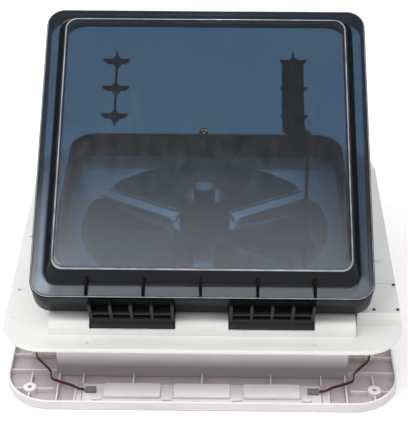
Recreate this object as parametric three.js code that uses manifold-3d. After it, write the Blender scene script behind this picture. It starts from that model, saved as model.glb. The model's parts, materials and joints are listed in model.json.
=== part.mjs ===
// Powered roof vent for a caravan or motorhome: a white roof flange with a smoked hinged lid,
// a 12 V fan on a spoked deck, a one-armed lid lift, and the interior trim with its light bar.
// Millimetres, +Z up. The origin is on the throat's axis, in the plane of the trim's room face.
// The lid is drawn shut and then turned open about its hinge by LID_OPEN.
import * as THREE from 'three';
import { mergeVertices } from 'three/addons/utils/BufferGeometryUtils.js';
import Module from 'manifold-3d';

const wasm = await Module();
wasm.setup();

// ---- Driving dimensions -------------------------------------------------------------------
const GAP = 0.3; // air left between touching pieces

const THROAT = 350; // outside of the square throat, for a 356 mm roof opening
const THROAT_WALL = 3;
const THROAT_BOTTOM = 4;

const FLANGE_W = 465;
const FLANGE_D = 469;
const FLANGE_TOP = 90;
const FLANGE_T = 5;
const FLANGE_R = 50;

const CURB = 362; // outside of the upstand that the lid's seal closes on
const CURB_WALL = 3.5;
const CURB_TOP = 132;
const SEAL_TOP = 142.5;
const CURB_R = 34;

const HINGE_Y = -194;
const HINGE_Z = 103.5;
const LID_OPEN = THREE.MathUtils.degToRad(33.2);

const LID_W = 392;
const LID_D = 383;
const LID_Y = 3.5; // centre of the shut lid
const LID_R = 22;
const LID_WALL = 3;
const LID_FACE = 155; // top of the shut lid's rim
const LID_SKIRT_BOTTOM = 110.6; // at the hinge; the skirt gets shallower towards the free end
const LID_SKIRT_RISE = 15;
const PANEL_INSET = 16; // from the lid's edge to the foot of the raised panel
const PANEL_SLOPE = 10.4; // how far the panel's side leans in
const PANEL_RISE = 21.5;
const PANEL_R = 16;

const DECK_TOP = 109.5;
const DECK_T = 3;
const DECK_HOLE_R = 156.5;
const SPOKE_W = 25;
const HUB_R = 42;
const MOTOR_R = 32;

const SHAFT_Y = -82; // the lift's cross shaft
const SHAFT_Z = 97;
const ARM_X = 123.8; // middle plane of the lift arm
const STROKE_SHAPE = 0.7; // arm turn per lid turn, less one
const RAIL_X = 106;

const TRIM_W = 466;
const TRIM_D = 467;
const TRIM_R = 55;
const TRIM_WALL = 2.5;
const TRIM_RIM = 12;
const TRIM_OPENING = 322;
const COLLAR = 338; // the trim's collar, which slides inside the throat
const COLLAR_TOP = 40;
const RIB_T = 1.6;
const RIB_TOP = 9;

// ---- Finishes -----------------------------------------------------------------------------
const finish = (color, roughness, metalness = 0) => () =>
  new THREE.MeshStandardMaterial({ color, roughness, metalness });
const WHITE = finish(0xeaeae8, 0.45);
const TRIM_WHITE = finish(0xd6ccce, 0.5);
const THROAT_GREY = finish(0xb7b3b2, 0.5);
const SMOKE = finish(0x3d4c5a, 0.12);
const SMOKE_DARK = finish(0x33373d, 0.3);
const BLACK = finish(0x2c2c2c, 0.5);
const RUBBER = finish(0x26282b, 0.85);
const MOTOR_GREY = finish(0x50555b, 0.45, 0.3);
const FAN_GREY = finish(0x43464e, 0.5);
const STEEL = finish(0xaeb1b5, 0.3, 1);
const BRASS = finish(0xb59a5a, 0.35, 1);
const BOARD = finish(0x1f5a3a, 0.6);
const LENS = finish(0xf4f2ec, 0.35);
const CONNECTOR = finish(0x8f8c8d, 0.6);
const RED = finish(0x8e1f24, 0.5);
const WIRE_BLACK = finish(0x2a2022, 0.5);

// ---- Solids -------------------------------------------------------------------------------
function solid(geometry) {
  const bare = geometry.clone();
  bare.deleteAttribute('normal');
  bare.deleteAttribute('uv');
  const merged = mergeVertices(bare, 1e-4);
  return new wasm.Manifold(
    new wasm.Mesh({
      numProp: 3,
      vertProperties: merged.attributes.position.array,
      triVerts: new Uint32Array(merged.index.array),
    }),
  );
}

const union = (...solids) => solids.flat().reduce((whole, next) => whole.add(next));
const cut = (body, ...tools) => tools.flat().reduce((rest, tool) => rest.subtract(tool), body);

function mesh(name, body, material) {
  const { vertProperties, triVerts } = body.getMesh();
  const geometry = new THREE.BufferGeometry();
  geometry.setAttribute('position', new THREE.BufferAttribute(vertProperties, 3));
  geometry.setIndex(new THREE.BufferAttribute(triVerts, 1));
  geometry.computeVertexNormals();
  const made = new THREE.Mesh(geometry, material());
  made.name = name;
  return made;
}

function roundedRect(w, d, r, x = 0, y = 0) {
  const shape = new THREE.Shape();
  const [left, right, front, back] = [x - w / 2, x + w / 2, y - d / 2, y + d / 2];
  shape.absarc(right - r, front + r, r, -Math.PI / 2, 0, false);
  shape.absarc(right - r, back - r, r, 0, Math.PI / 2, false);
  shape.absarc(left + r, back - r, r, Math.PI / 2, Math.PI, false);
  shape.absarc(left + r, front + r, r, Math.PI, 1.5 * Math.PI, false);
  return shape;
}

function disc(r, x = 0, y = 0) {
  return new THREE.Shape().absarc(x, y, r, 0, 2 * Math.PI, false);
}

const polygon = (points) => new THREE.Shape(points.map(([a, b]) => new THREE.Vector2(a, b)));

function extrude(shape, length, curveSegments) {
  return new THREE.ExtrudeGeometry(shape, {
    depth: length,
    bevelEnabled: false,
    curveSegments,
  });
}

// A shape in the XY plane, drawn up from z0 to z1.
function prism(shape, z0, z1, curveSegments = 3) {
  return solid(extrude(shape, z1 - z0, curveSegments).translate(0, 0, z0));
}

// A shape whose two directions are Y and Z, drawn along X.
function alongX(shape, x0, x1, curveSegments = 6) {
  const turn = new THREE.Matrix4().makeBasis(
    new THREE.Vector3(0, 1, 0),
    new THREE.Vector3(0, 0, 1),
    new THREE.Vector3(1, 0, 0),
  );
  return solid(extrude(shape, x1 - x0, curveSegments).applyMatrix4(turn).translate(x0, 0, 0));
}

// A shape whose two directions are X and Z, drawn along Y.
function alongY(shape, y0, y1, curveSegments = 6) {
  const turn = new THREE.Matrix4().makeBasis(
    new THREE.Vector3(1, 0, 0),
    new THREE.Vector3(0, 0, 1),
    new THREE.Vector3(0, -1, 0),
  );
  return solid(extrude(shape, y1 - y0, curveSegments).applyMatrix4(turn).translate(0, y1, 0));
}

function box([x0, x1], [y0, y1], [z0, z1]) {
  const block = new THREE.BoxGeometry(x1 - x0, y1 - y0, z1 - z0);
  return solid(block.translate((x0 + x1) / 2, (y0 + y1) / 2, (z0 + z1) / 2));
}

const span = (middle, size) => [middle - size / 2, middle + size / 2];

// An upright round bar, or a hole's tool.
const post = (r, x, y, z0, z1, curveSegments = 6) => prism(disc(r, x, y), z0, z1, curveSegments);

// A round bar along X at a given y and z.
const bar = (r, y, z, x0, x1, curveSegments = 6) => alongX(disc(r, y, z), x0, x1, curveSegments);

// A rounded block whose top face is drawn in by inset all round.
function taperedBlock(w, d, r, y, z0, z1, inset) {
  const block = extrude(roundedRect(w, d, r), z1 - z0, 3);
  const place = block.attributes.position;
  for (let i = 0; i < place.count; i += 1) {
    if (place.getZ(i) > 0) {
      place.setX(i, (place.getX(i) * (w - 2 * inset)) / w);
      place.setY(i, (place.getY(i) * (d - 2 * inset)) / d);
    }
  }
  return solid(block.translate(0, y, z0));
}

function latheZ(profile, segments) {
  const points = profile.map(([r, z]) => new THREE.Vector2(r, z));
  return solid(new THREE.LatheGeometry(points, segments).rotateX(Math.PI / 2));
}

const model = new THREE.Group();
const add = (name, body, material) => model.add(mesh(name, body, material));

const bothSides = [
  ['left', -1],
  ['right', 1],
];
const corners = [
  [-1, -1],
  [1, -1],
  [1, 1],
  [-1, 1],
];

// ---- Roof flange with curb, hinge housing and lift housing ----------------------------------
const FLANGE_BOTTOM = FLANGE_TOP - FLANGE_T;
const HOUSING_TOP = 108.3;
const HOUSING_HALF_W = 176.7;
const HOUSING_FRONT = -207.7;
const HOUSING_LIP = 98.2;

const BLOCK_X = 80; // middle of each hinge block
const BLOCK_W = 97;
const BARREL_R = 12;
const PIN_R = 2.5;
const PIN_HALF = 59;

const DRIVE_X = [180, 230];
const DRIVE_Y = [-184, 150];
const DRIVE_ROOM_X = [184, 227];
const DRIVE_ROOM_Y = [-181, 147];
const DRIVE_ROOM_Z = [88, 104.4];
const COVER_X = [192, 230.2];
const COVER_Y = [-182, -124];
const COVER_SEAT = 106.4;
const COVER_SCREWS = [
  [199.5, -178],
  [227, -178],
  [199.5, -128],
  [227, -128],
];
const CAP_X = 214;
const CAP_Y = -72;
const SCREW_HOLES = [
  [-130, -222],
  [130, -222],
  [-221, -118],
  [-221, 0],
  [-221, 118],
  [-130, 222],
  [130, 222],
];

function hingeHousing() {
  const side = new THREE.Shape();
  side.moveTo(HOUSING_FRONT, FLANGE_BOTTOM + 1);
  side.lineTo(-CURB / 2 + 1, FLANGE_BOTTOM + 1);
  side.lineTo(-CURB / 2 + 1, HOUSING_TOP);
  side.lineTo(-199, HOUSING_TOP);
  side.quadraticCurveTo(-205.5, HOUSING_TOP - 1, HOUSING_FRONT, HOUSING_LIP);
  return alongX(side, -HOUSING_HALF_W, HOUSING_HALF_W, 4);
}

function hingeNotch(x) {
  const half = BLOCK_W / 2 + 1.2;
  return [
    bar(BARREL_R + 0.7, HINGE_Y, HINGE_Z, x - half, x + half, 12),
    box([x - half, x + half], [HOUSING_FRONT - 4, -CURB / 2 - 0.4], [HOUSING_LIP, 125]),
    bar(PIN_R + GAP, HINGE_Y, HINGE_Z, x - PIN_HALF - GAP, x + PIN_HALF + GAP),
  ];
}

function roofFlange() {
  const inside = CURB - 2 * CURB_WALL;
  const insideR = CURB_R - CURB_WALL;
  const plate = prism(roundedRect(FLANGE_W, FLANGE_D, FLANGE_R), FLANGE_BOTTOM, FLANGE_TOP, 5);
  const curb = prism(roundedRect(CURB, CURB, CURB_R), FLANGE_BOTTOM + 1, CURB_TOP);
  const drive = box(DRIVE_X, DRIVE_Y, [FLANGE_BOTTOM + 1, HOUSING_TOP + 0.1]);
  const seat = box(COVER_X, COVER_Y, [COVER_SEAT, 120]);
  const hatch = box([199, 222], [-174.5, -131.5], [100, 120]);
  return cut(
    union(plate, curb, hingeHousing(), drive),
    prism(roundedRect(inside, inside, insideR), FLANGE_BOTTOM - 1, CURB_TOP + 1),
    hingeNotch(-BLOCK_X),
    hingeNotch(BLOCK_X),
    box(DRIVE_ROOM_X, DRIVE_ROOM_Y, DRIVE_ROOM_Z),
    seat,
    hatch,
    COVER_SCREWS.map(([x, y]) => post(1.5, x, y, 100, 107, 4)),
    post(2.4, CAP_X, CAP_Y, 100, 112, 4),
    bar(3.5, SHAFT_Y, SHAFT_Z, 170, 190),
    SCREW_HOLES.map(([x, y]) => post(2.5, x, y, FLANGE_BOTTOM - 1, FLANGE_TOP + 1, 4)),
  );
}

add('roof_flange', roofFlange(), WHITE);

// ---- Throat, deck and seal ------------------------------------------------------------------
const THROAT_R = 5; // below the flange
const NECK_R = 28; // inside the curb
const THROAT_TOP = DECK_TOP - DECK_T - GAP;
const DECK_SCREW = 160;
const RING_R = 157.5;

function throatTube() {
  const inside = THROAT - 2 * THROAT_WALL;
  const shoulder = FLANGE_BOTTOM - GAP;
  const neckRoom = prism(roundedRect(inside, inside, NECK_R - THROAT_WALL), shoulder - 4, THROAT_TOP + 1);
  const square = cut(
    prism(roundedRect(THROAT, THROAT, THROAT_R), THROAT_BOTTOM, shoulder),
    prism(roundedRect(inside, inside, THROAT_R - THROAT_WALL), THROAT_BOTTOM - 1, shoulder - 3),
    neckRoom,
  );
  const neck = cut(prism(roundedRect(THROAT, THROAT, NECK_R), shoulder - 1, THROAT_TOP), neckRoom);
  const posts = corners.map(([x, y]) =>
    post(8, DECK_SCREW * x, DECK_SCREW * y, shoulder - 3, THROAT_TOP, 5),
  );
  const pilots = corners.map(([x, y]) => post(1.6, DECK_SCREW * x, DECK_SCREW * y, 90, 110, 4));
  return cut(union(square, neck, posts), pilots, bar(3.5, SHAFT_Y, SHAFT_Z, 165, 180));
}

// One opening between two spokes: parallel-sided spokes, a round rim and rounded corners.
function deckOpening(spoke) {
  const cornerR = 13;
  const next = spoke + (2 * Math.PI) / 3;
  const reach = DECK_HOLE_R - cornerR;
  const lean = Math.asin((SPOKE_W / 2 + cornerR) / reach);
  const innerLean = Math.asin(SPOKE_W / 2 / HUB_R);
  const shape = new THREE.Shape();
  const corner = (angle, from, to) =>
    shape.absarc(reach * Math.cos(angle), reach * Math.sin(angle), cornerR, from, to, false);
  corner(spoke + lean, spoke - Math.PI / 2, spoke + lean);
  shape.absarc(0, 0, DECK_HOLE_R, spoke + lean, next - lean, false);
  corner(next - lean, next - lean, next + Math.PI / 2);
  shape.absarc(0, 0, HUB_R, next - innerLean, spoke + innerLean, true);
  return prism(shape, DECK_TOP - DECK_T - 2, DECK_TOP + 2, 4);
}

function fanDeck() {
  const size = CURB - 2 * CURB_WALL - 2 * GAP;
  const cornerR = CURB_R - CURB_WALL - GAP;
  const bottom = DECK_TOP - DECK_T;
  const plate = prism(roundedRect(size, size, cornerR), bottom, DECK_TOP);
  const ring = cut(post(RING_R + 3, 0, 0, 60, DECK_TOP - 1, 12), post(RING_R, 0, 0, 59, bottom, 12));
  const hubRing = cut(post(HUB_R - 1, 0, 0, bottom, 114, 8), post(HUB_R - 4, 0, 0, DECK_TOP, 120, 8));
  const spokes = [30, 150, 270].map(THREE.MathUtils.degToRad);
  return cut(
    union(plate, ring, hubRing),
    spokes.map(deckOpening),
    post(8, 0, 0, 90, 130),
    corners.map(([x, y]) => post(1.9, DECK_SCREW * x, DECK_SCREW * y, 90, 130, 4)),
    bar(4, SHAFT_Y, SHAFT_Z, 110, 160),
  );
}

function curbSeal() {
  const bulb = prism(roundedRect(368, 368, 37), CURB_TOP - 8.5, SEAL_TOP);
  const skirtSize = CURB - 2 * CURB_WALL - 2 * GAP;
  const skirt = prism(roundedRect(skirtSize, skirtSize, 30.2), DECK_TOP + GAP, SEAL_TOP - 5);
  const centre = prism(roundedRect(349, 349, 27.5), 100, 151);
  const slotOuter = CURB + 2 * GAP;
  const slotInner = CURB - 2 * CURB_WALL - 2 * GAP;
  const slot = cut(
    prism(roundedRect(slotOuter, slotOuter, CURB_R + GAP), CURB_TOP - 10, CURB_TOP + GAP),
    prism(roundedRect(slotInner, slotInner, CURB_R - CURB_WALL - GAP), CURB_TOP - 11, CURB_TOP + 1),
  );
  return cut(union(cut(bulb, slot), skirt), centre);
}

add('throat_tube', throatTube(), THROAT_GREY);
add('fan_deck', fanDeck(), WHITE);
add('curb_seal', curbSeal(), RUBBER);

// A pan-head screw: shank bottom, underside of the head, head top.
function screw(x, y, shankR, z0, headR, z1, z2) {
  return union(post(shankR, x, y, z0, z1 + 0.2, 4), post(headR, x, y, z1, z2, 5));
}

corners.forEach(([x, y], i) => {
  const body = screw(DECK_SCREW * x, DECK_SCREW * y, 1.3, 94, 4, DECK_TOP + GAP, 112);
  add(`deck_screw_${i + 1}`, body, STEEL);
});

// ---- Fan --------------------------------------------------------------------------------------
const CAN_TOP = 155;
const CAP_R = 13.5;
const CAP_TOP = 168;
const SHAFT_R = 4;
const FAN_Z = [66, 92];
const FAN_HUB_R = 38;
const FAN_R = 150;
const BLADES = 6;

function fanMotor() {
  const shell = [
    [0, DECK_TOP + GAP],
    [MOTOR_R, DECK_TOP + GAP],
    [MOTOR_R, CAN_TOP - 8],
    [MOTOR_R - 2.5, CAN_TOP - 2.5],
    [MOTOR_R - 8, CAN_TOP],
    [0, CAN_TOP],
  ];
  return cut(latheZ(shell, 24), post(SHAFT_R + 0.4, 0, 0, 100, 148, 6));
}

function motorCap() {
  const cap = [
    [0, CAN_TOP + GAP],
    [CAP_R, CAN_TOP + GAP],
    [CAP_R, CAP_TOP - 2],
    [CAP_R - 2, CAP_TOP],
    [0, CAP_TOP],
  ];
  return latheZ(cap, 16);
}

function fanBlade(turn) {
  const outline = new THREE.Shape();
  outline.moveTo(FAN_HUB_R - 6, -20);
  outline.lineTo(FAN_R - 14, -34);
  outline.quadraticCurveTo(FAN_R, 0, FAN_R - 10, 34);
  outline.lineTo(FAN_HUB_R - 6, 20);
  const blade = extrude(outline, 2.4, 3).translate(0, 0, -1.2);
  blade.rotateX(THREE.MathUtils.degToRad(20)).translate(0, 0, (FAN_Z[0] + FAN_Z[1]) / 2);
  return solid(blade.rotateZ(turn));
}

function fanRotor() {
  const [low, high] = FAN_Z;
  const hollow = post(FAN_HUB_R - 3, 0, 0, low - 1, high - 3, 12);
  const hub = cut(post(FAN_HUB_R, 0, 0, low, high, 12), hollow);
  const boss = post(9, 0, 0, low, high - 1);
  const turns = Array.from({ length: BLADES }, (_, i) => ((i + 0.25) * 2 * Math.PI) / BLADES);
  const blades = cut(union(turns.map(fanBlade)), post(FAN_HUB_R - 3, 0, 0, 40, 120, 12));
  return cut(union(hub, boss, blades), post(SHAFT_R + GAP, 0, 0, low - 1, high + 1, 6));
}

add('fan_motor', fanMotor(), MOTOR_GREY);
add('fan_motor_cap', motorCap(), WHITE);
add('fan_shaft', post(SHAFT_R, 0, 0, FAN_Z[0] - 2, 146, 6), STEEL);
add('fan_rotor', fanRotor(), FAN_GREY);

// ---- Lift drive in its housing ------------------------------------------------------------------
const MODULE_MM = 0.7;
const GEAR_TEETH = 16;
const PINION_TEETH = 9;
const GEAR_X = [187, 193];
const PINION_Y = SHAFT_Y - (MODULE_MM * (GEAR_TEETH + PINION_TEETH)) / 2;
const DRIVE_SHAFT_R = 3;

// A spur gear along X with straight-sided teeth, narrow enough to leave backlash.
function gear(teeth, firstTooth, y, x) {
  const pitchR = (MODULE_MM * teeth) / 2;
  const [tipR, rootR] = [pitchR + 0.75 * MODULE_MM, pitchR - 1.05 * MODULE_MM];
  const step = (2 * Math.PI) / teeth;
  const outline = [];
  for (let i = 0; i < teeth; i += 1) {
    const middle = firstTooth + i * step;
    const flank = [
      [rootR, -0.3],
      [tipR, -0.12],
      [tipR, 0.12],
      [rootR, 0.3],
    ];
    for (const [r, part] of flank) {
      const angle = middle + part * step;
      outline.push([y + r * Math.cos(angle), SHAFT_Z + r * Math.sin(angle)]);
    }
  }
  return alongX(polygon(outline), ...x);
}

function liftPinion() {
  // The gear shows a tooth at 180 degrees, so the pinion shows a space at 0.
  const teeth = gear(PINION_TEETH, Math.PI / PINION_TEETH, PINION_Y, GEAR_X);
  return union(teeth, bar(1.2, PINION_Y, SHAFT_Z, GEAR_X[0], 204, 4));
}

function liftMotor() {
  const can = bar(7, PINION_Y, SHAFT_Z, 207, 226, 8);
  const gearbox = box([199.3, 208], span(PINION_Y, 14.6), span(SHAFT_Z, 13));
  return cut(union(can, gearbox), bar(1.5, PINION_Y, SHAFT_Z, 198, 205, 4));
}

function controlBoard() {
  const board = box([190, 220], [0, 90], [89, 90.6]);
  const relay = box([194, 206], [8, 26], [90.5, 101]);
  const chip = box([196, 206], [40, 54], [90.5, 92.6]);
  const capacitor = post(5, 212, 70, 90.5, 101);
  const header = box([208, 217], [6, 20], [90.5, 97]);
  return union(board, relay, chip, capacitor, header);
}

const gearBore = bar(DRIVE_SHAFT_R + GAP, SHAFT_Y, SHAFT_Z, 180, 200);
add('lift_gear', cut(gear(GEAR_TEETH, Math.PI, SHAFT_Y, GEAR_X), gearBore), BRASS);
add('lift_pinion', liftPinion(), STEEL);
add('lift_motor', liftMotor(), STEEL);
add('lift_shaft', bar(DRIVE_SHAFT_R, SHAFT_Y, SHAFT_Z, 119, 196), STEEL);
add('control_board', controlBoard(), BOARD);

function driveCover() {
  const plate = box(
    [COVER_X[0] + GAP, COVER_X[1] - GAP],
    [COVER_Y[0] + GAP, COVER_Y[1] - GAP],
    [COVER_SEAT + GAP, HOUSING_TOP],
  );
  return cut(plate, COVER_SCREWS.map(([x, y]) => post(1.6, x, y, 100, 112, 4)));
}

add('drive_cover', driveCover(), WHITE);
COVER_SCREWS.forEach(([x, y], i) => {
  add(`drive_cover_screw_${i + 1}`, screw(x, y, 1.2, 101, 2.1, HOUSING_TOP + GAP, 109.8), STEEL);
});
const capStem = post(2, CAP_X, CAP_Y, 103, 109, 4);
add('rain_sensor_cap', union(post(6.5, CAP_X, CAP_Y, 108.7, 109.8), capStem), WHITE);

// ---- Lift linkage -------------------------------------------------------------------------------
// In the lid's own frame the rivet has to run along a straight rail while the arm turns
// (1 + STROKE_SHAPE) times as far as the lid. The arm's length and mid-stroke angle follow from
// asking that the rivet's height has no slope and no curvature at mid-stroke.
const pivotY = SHAFT_Y - HINGE_Y;
const pivotZ = SHAFT_Z - HINGE_Z;
const pivotReach = Math.hypot(pivotY, pivotZ);
const pivotAngle = Math.atan2(pivotZ, pivotY);
const midDrop = LID_OPEN / 2 - pivotAngle;
const midArm = Math.atan(Math.tan(midDrop) / STROKE_SHAPE);
const ARM_LENGTH = (pivotReach * Math.cos(midDrop)) / (STROKE_SHAPE * Math.cos(midArm));
const RAIL_LINE = HINGE_Z + ARM_LENGTH * Math.sin(midArm) - pivotReach * Math.sin(midDrop);
const armInLid = midArm + (STROKE_SHAPE * LID_OPEN) / 2;
const ARM_ANGLE = armInLid + LID_OPEN;

// The rivet's place with the lid open, in the lid's shut frame.
const rivetY = HINGE_Y + pivotReach * Math.cos(pivotAngle - LID_OPEN) + ARM_LENGTH * Math.cos(armInLid);
const rivetZ = HINGE_Z + pivotReach * Math.sin(pivotAngle - LID_OPEN) + ARM_LENGTH * Math.sin(armInLid);

function liftArm() {
  const bar2d = new THREE.Shape();
  bar2d.absarc(0, 0, 6.5, Math.PI / 2, 1.5 * Math.PI, false);
  bar2d.absarc(ARM_LENGTH, 0, 4.5, -Math.PI / 2, Math.PI / 2, false);
  const flat = alongX(bar2d, ARM_X - 1.8, ARM_X + 1.8);
  const holes = [bar(DRIVE_SHAFT_R + GAP, 0, 0, 100, 150), bar(2 + GAP, ARM_LENGTH, 0, 100, 150, 4)];
  return cut(flat, holes);
}

const arm = mesh('lift_arm', liftArm(), BLACK);
arm.position.set(0, SHAFT_Y, SHAFT_Z);
arm.rotation.x = ARM_ANGLE;
model.add(arm);

const lid = new THREE.Group();
lid.position.set(0, HINGE_Y, HINGE_Z);
lid.rotation.x = LID_OPEN;
model.add(lid);

// Puts a piece that is drawn in the shut lid's place on the open lid.
function addToLid(name, body, material) {
  const made = mesh(name, body, material);
  made.position.set(0, -HINGE_Y, -HINGE_Z);
  lid.add(made);
}

const RAIL_W = 26;
const RAIL_Y = [HINGE_Y + 217, HINGE_Y + 310];
const RAIL_FLOOR = RAIL_LINE + 7;
const RAIL_HEIGHT = 10;
const HEAD_MIDDLE = RAIL_FLOOR + 4.8;

function liftRail() {
  const [y0, y1] = RAIL_Y;
  const chamfer = 5;
  const half = RAIL_W / 2;
  const outline = polygon([
    [RAIL_X - half + chamfer, y0],
    [RAIL_X + half - chamfer, y0],
    [RAIL_X + half, y0 + chamfer],
    [RAIL_X + half, y1],
    [RAIL_X - half, y1],
    [RAIL_X - half, y0 + chamfer],
  ]);
  return cut(
    prism(outline, RAIL_FLOOR, RAIL_FLOOR + RAIL_HEIGHT),
    box(span(RAIL_X, 20), [y0 - 1, y1 - 3], span(HEAD_MIDDLE, 5.2)),
    box(span(RAIL_X, 10), [y0 - 1, y1 - 3], [RAIL_FLOOR - 1, HEAD_MIDDLE]),
  );
}

function liftShoe() {
  const lugBottom = RAIL_LINE - 4.5;
  const lugTop = RAIL_FLOOR - 0.8;
  const rise = rivetZ - RAIL_LINE; // the rivet's own small error in height at full opening
  const parts = union(
    box(span(RAIL_X, 19), span(rivetY, 12), span(HEAD_MIDDLE, 4.2)),
    box(span(RAIL_X, 9), span(rivetY, 12), [lugTop - 1, HEAD_MIDDLE]),
    box([RAIL_X - 4.5, ARM_X - 2.4], span(rivetY, 12), [lugBottom, lugTop]),
  );
  const hole = bar(2 + GAP, rivetY, RAIL_LINE, ARM_X - 12, ARM_X + 4, 4);
  return cut(parts, hole).translate([0, 0, rise]);
}

function liftRivet() {
  return union(
    bar(2, rivetY, rivetZ, ARM_X - 11, ARM_X + 3.4, 4),
    bar(3.6, rivetY, rivetZ, ARM_X + 2.1, ARM_X + 3.6, 5),
  );
}

// ---- Lid ----------------------------------------------------------------------------------------
const PANEL_TOP = LID_FACE + PANEL_RISE;
const LID_FRONT = LID_Y - LID_D / 2;
const GUSSETS_X = [-130.5, -66, -1.5, 63, 127.5];

// The lid's solid outer form, drawn in by wall on every side and at the top.
function lidForm(wall, bottom) {
  const [w, d] = [LID_W - 2 * wall, LID_D - 2 * wall];
  const panelW = w - 2 * PANEL_INSET;
  const panelD = d - 2 * PANEL_INSET;
  return union(
    prism(roundedRect(w, d, LID_R - wall, 0, LID_Y), bottom, LID_FACE - wall, 4),
    taperedBlock(panelW, panelD, PANEL_R, LID_Y, LID_FACE - wall - 0.2, PANEL_TOP - wall, PANEL_SLOPE),
  );
}

function lidGusset(x) {
  const foot = LID_FRONT + 1.5;
  const side = polygon([
    [foot, LID_FACE - 1.5],
    [LID_FRONT + PANEL_INSET + 2, LID_FACE - 1.5],
    [LID_FRONT + PANEL_INSET + 6.6, LID_FACE + 11],
    [foot, LID_FACE + 2.5],
  ]);
  return alongX(side, x - 1.75, x + 1.75);
}

// What is taken off below the skirt, so that its lower edge climbs towards the free end.
function underSkirt() {
  const [front, back] = [LID_FRONT - 1, LID_FRONT + LID_D + 1];
  const side = polygon([
    [front, LID_SKIRT_BOTTOM - 10],
    [back, LID_SKIRT_BOTTOM - 10],
    [back, LID_SKIRT_BOTTOM + LID_SKIRT_RISE],
    [front, LID_SKIRT_BOTTOM],
  ]);
  return alongX(side, -LID_W, LID_W);
}

// The rib that the shut lid presses on the seal.
function sealRib() {
  return cut(
    prism(roundedRect(358, 358, 32), SEAL_TOP + 2 * GAP, LID_FACE - LID_WALL + 0.5),
    prism(roundedRect(353, 353, 29.5), SEAL_TOP - 1, LID_FACE),
  );
}

function lidShell() {
  const shell = cut(lidForm(0, LID_SKIRT_BOTTOM), lidForm(LID_WALL, LID_SKIRT_BOTTOM - 5), underSkirt());
  return union(shell, sealRib(), GUSSETS_X.map(lidGusset));
}

// A stiffened foot row: three gusseted bosses on one spine, standing down from the panel.
function lidRib(x) {
  const top = PANEL_TOP - LID_WALL - GAP;
  const bottom = RAIL_FLOOR + RAIL_HEIGHT + GAP;
  const spine = box(span(x, 2.4), [HINGE_Y + 220, HINGE_Y + 318], [bottom + 4, top]);
  const bosses = [231, 268.5, 306].map((reach) => {
    const y = HINGE_Y + reach;
    const wing = polygon([
      [x - 11, bottom + 3],
      [x + 11, bottom + 3],
      [x + 16.5, top],
      [x - 16.5, top],
    ]);
    return union(post(5, x, y, bottom, top, 5), alongY(wing, y - 1.2, y + 1.2));
  });
  return union(spine, bosses);
}

function hingeBlock(x) {
  const ribT = 3.5;
  const pocketW = (BLOCK_W - 5 * ribT) / 4;
  const flatTop = HINGE_Z + 4;
  const midRib = [130, 132];
  const [low, high] = [117, LID_FACE]; // the upper pockets are open at the top
  const half = BLOCK_W / 2;
  const nose = cut(
    bar(BARREL_R, HINGE_Y, HINGE_Z, x - half, x + half, 12),
    box([x - half - 1, x + half + 1], span(HINGE_Y, 40), [flatTop, flatTop + 20]),
  );
  const leaf = box([x - half, x + half], [HINGE_Y - 5, LID_FRONT - GAP], [HINGE_Z, LID_FACE - 1.5]);
  const pockets = [0, 1, 2, 3].flatMap((i) => {
    const left = x - half + ribT + i * (pocketW + ribT);
    const across = [left, left + pocketW];
    const deep = [HINGE_Y - 8, LID_FRONT - GAP - 1.5];
    return [box(across, deep, [low, midRib[0]]), box(across, deep, [midRib[1], high])];
  });
  const bore = bar(PIN_R + GAP, HINGE_Y, HINGE_Z, x - half - 1, x + half + 1);
  return cut(union(nose, leaf), pockets, bore);
}

addToLid('lid_shell', lidShell(), SMOKE);
addToLid('lid_plug', post(5.5, 0, LID_FRONT + 200, PANEL_TOP + GAP, PANEL_TOP + 1.2), SMOKE_DARK);
addToLid('lift_rail', liftRail(), BLACK);
addToLid('lift_shoe', liftShoe(), BLACK);
addToLid('lift_rivet', liftRivet(), STEEL);
for (const [side, sign] of bothSides) {
  const x = sign * BLOCK_X;
  addToLid(`hinge_block_${side}`, hingeBlock(x), BLACK);
  addToLid(`lid_rib_${side}`, lidRib(sign * RAIL_X), SMOKE_DARK);
  add(`hinge_pin_${side}`, bar(PIN_R, HINGE_Y, HINGE_Z, x - PIN_HALF, x + PIN_HALF), STEEL);
}

// ---- Interior trim --------------------------------------------------------------------------------
const BOSS_X = 204;
const BOSS_Y = 205;
const LIGHT_Y = -211;
const LIGHT_TOP = 8.5;
const LIGHT_HALF = 141;
const LIGHT_DEPTH = 31;
const PANEL_X = 204;
const CONTROL = [34, 104];

function trimRibs() {
  const [w, d] = [TRIM_W / 2 - 1, TRIM_D / 2 - 1];
  const inner = THROAT / 2 + 1;
  const height = [TRIM_WALL - 0.2, RIB_TOP];
  const ribs = [];
  for (const side of [-1, 1]) {
    for (const y of [BOSS_Y, 170, 140, 70]) {
      const along = side < 0 ? [-w, -inner] : [inner, w];
      ribs.push(box(along, span(y, RIB_T), height), box(along, span(-y, RIB_T), height));
    }
    for (const x of [BOSS_X, 171, 142, 82]) {
      const along = side < 0 ? [-d, -inner] : [inner, d];
      ribs.push(box(span(x, RIB_T), along, height), box(span(-x, RIB_T), along, height));
    }
    const across = side < 0 ? [-d, -inner] : [inner, d];
    ribs.push(box(span(0, RIB_T), across, height));
  }
  const lightRoom = box(span(0, 306), span(LIGHT_Y, LIGHT_DEPTH + 1.2), [TRIM_WALL, 30]);
  const panelRoom = box(span(PANEL_X, CONTROL[0] + 8), span(0, CONTROL[1] + 8), [TRIM_WALL, 30]);
  const outline = prism(roundedRect(2 * w, 2 * d, TRIM_R - 1), 0, RIB_TOP + 1, 5);
  return cut(union(ribs).intersect(outline), lightRoom, panelRoom);
}

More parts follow.
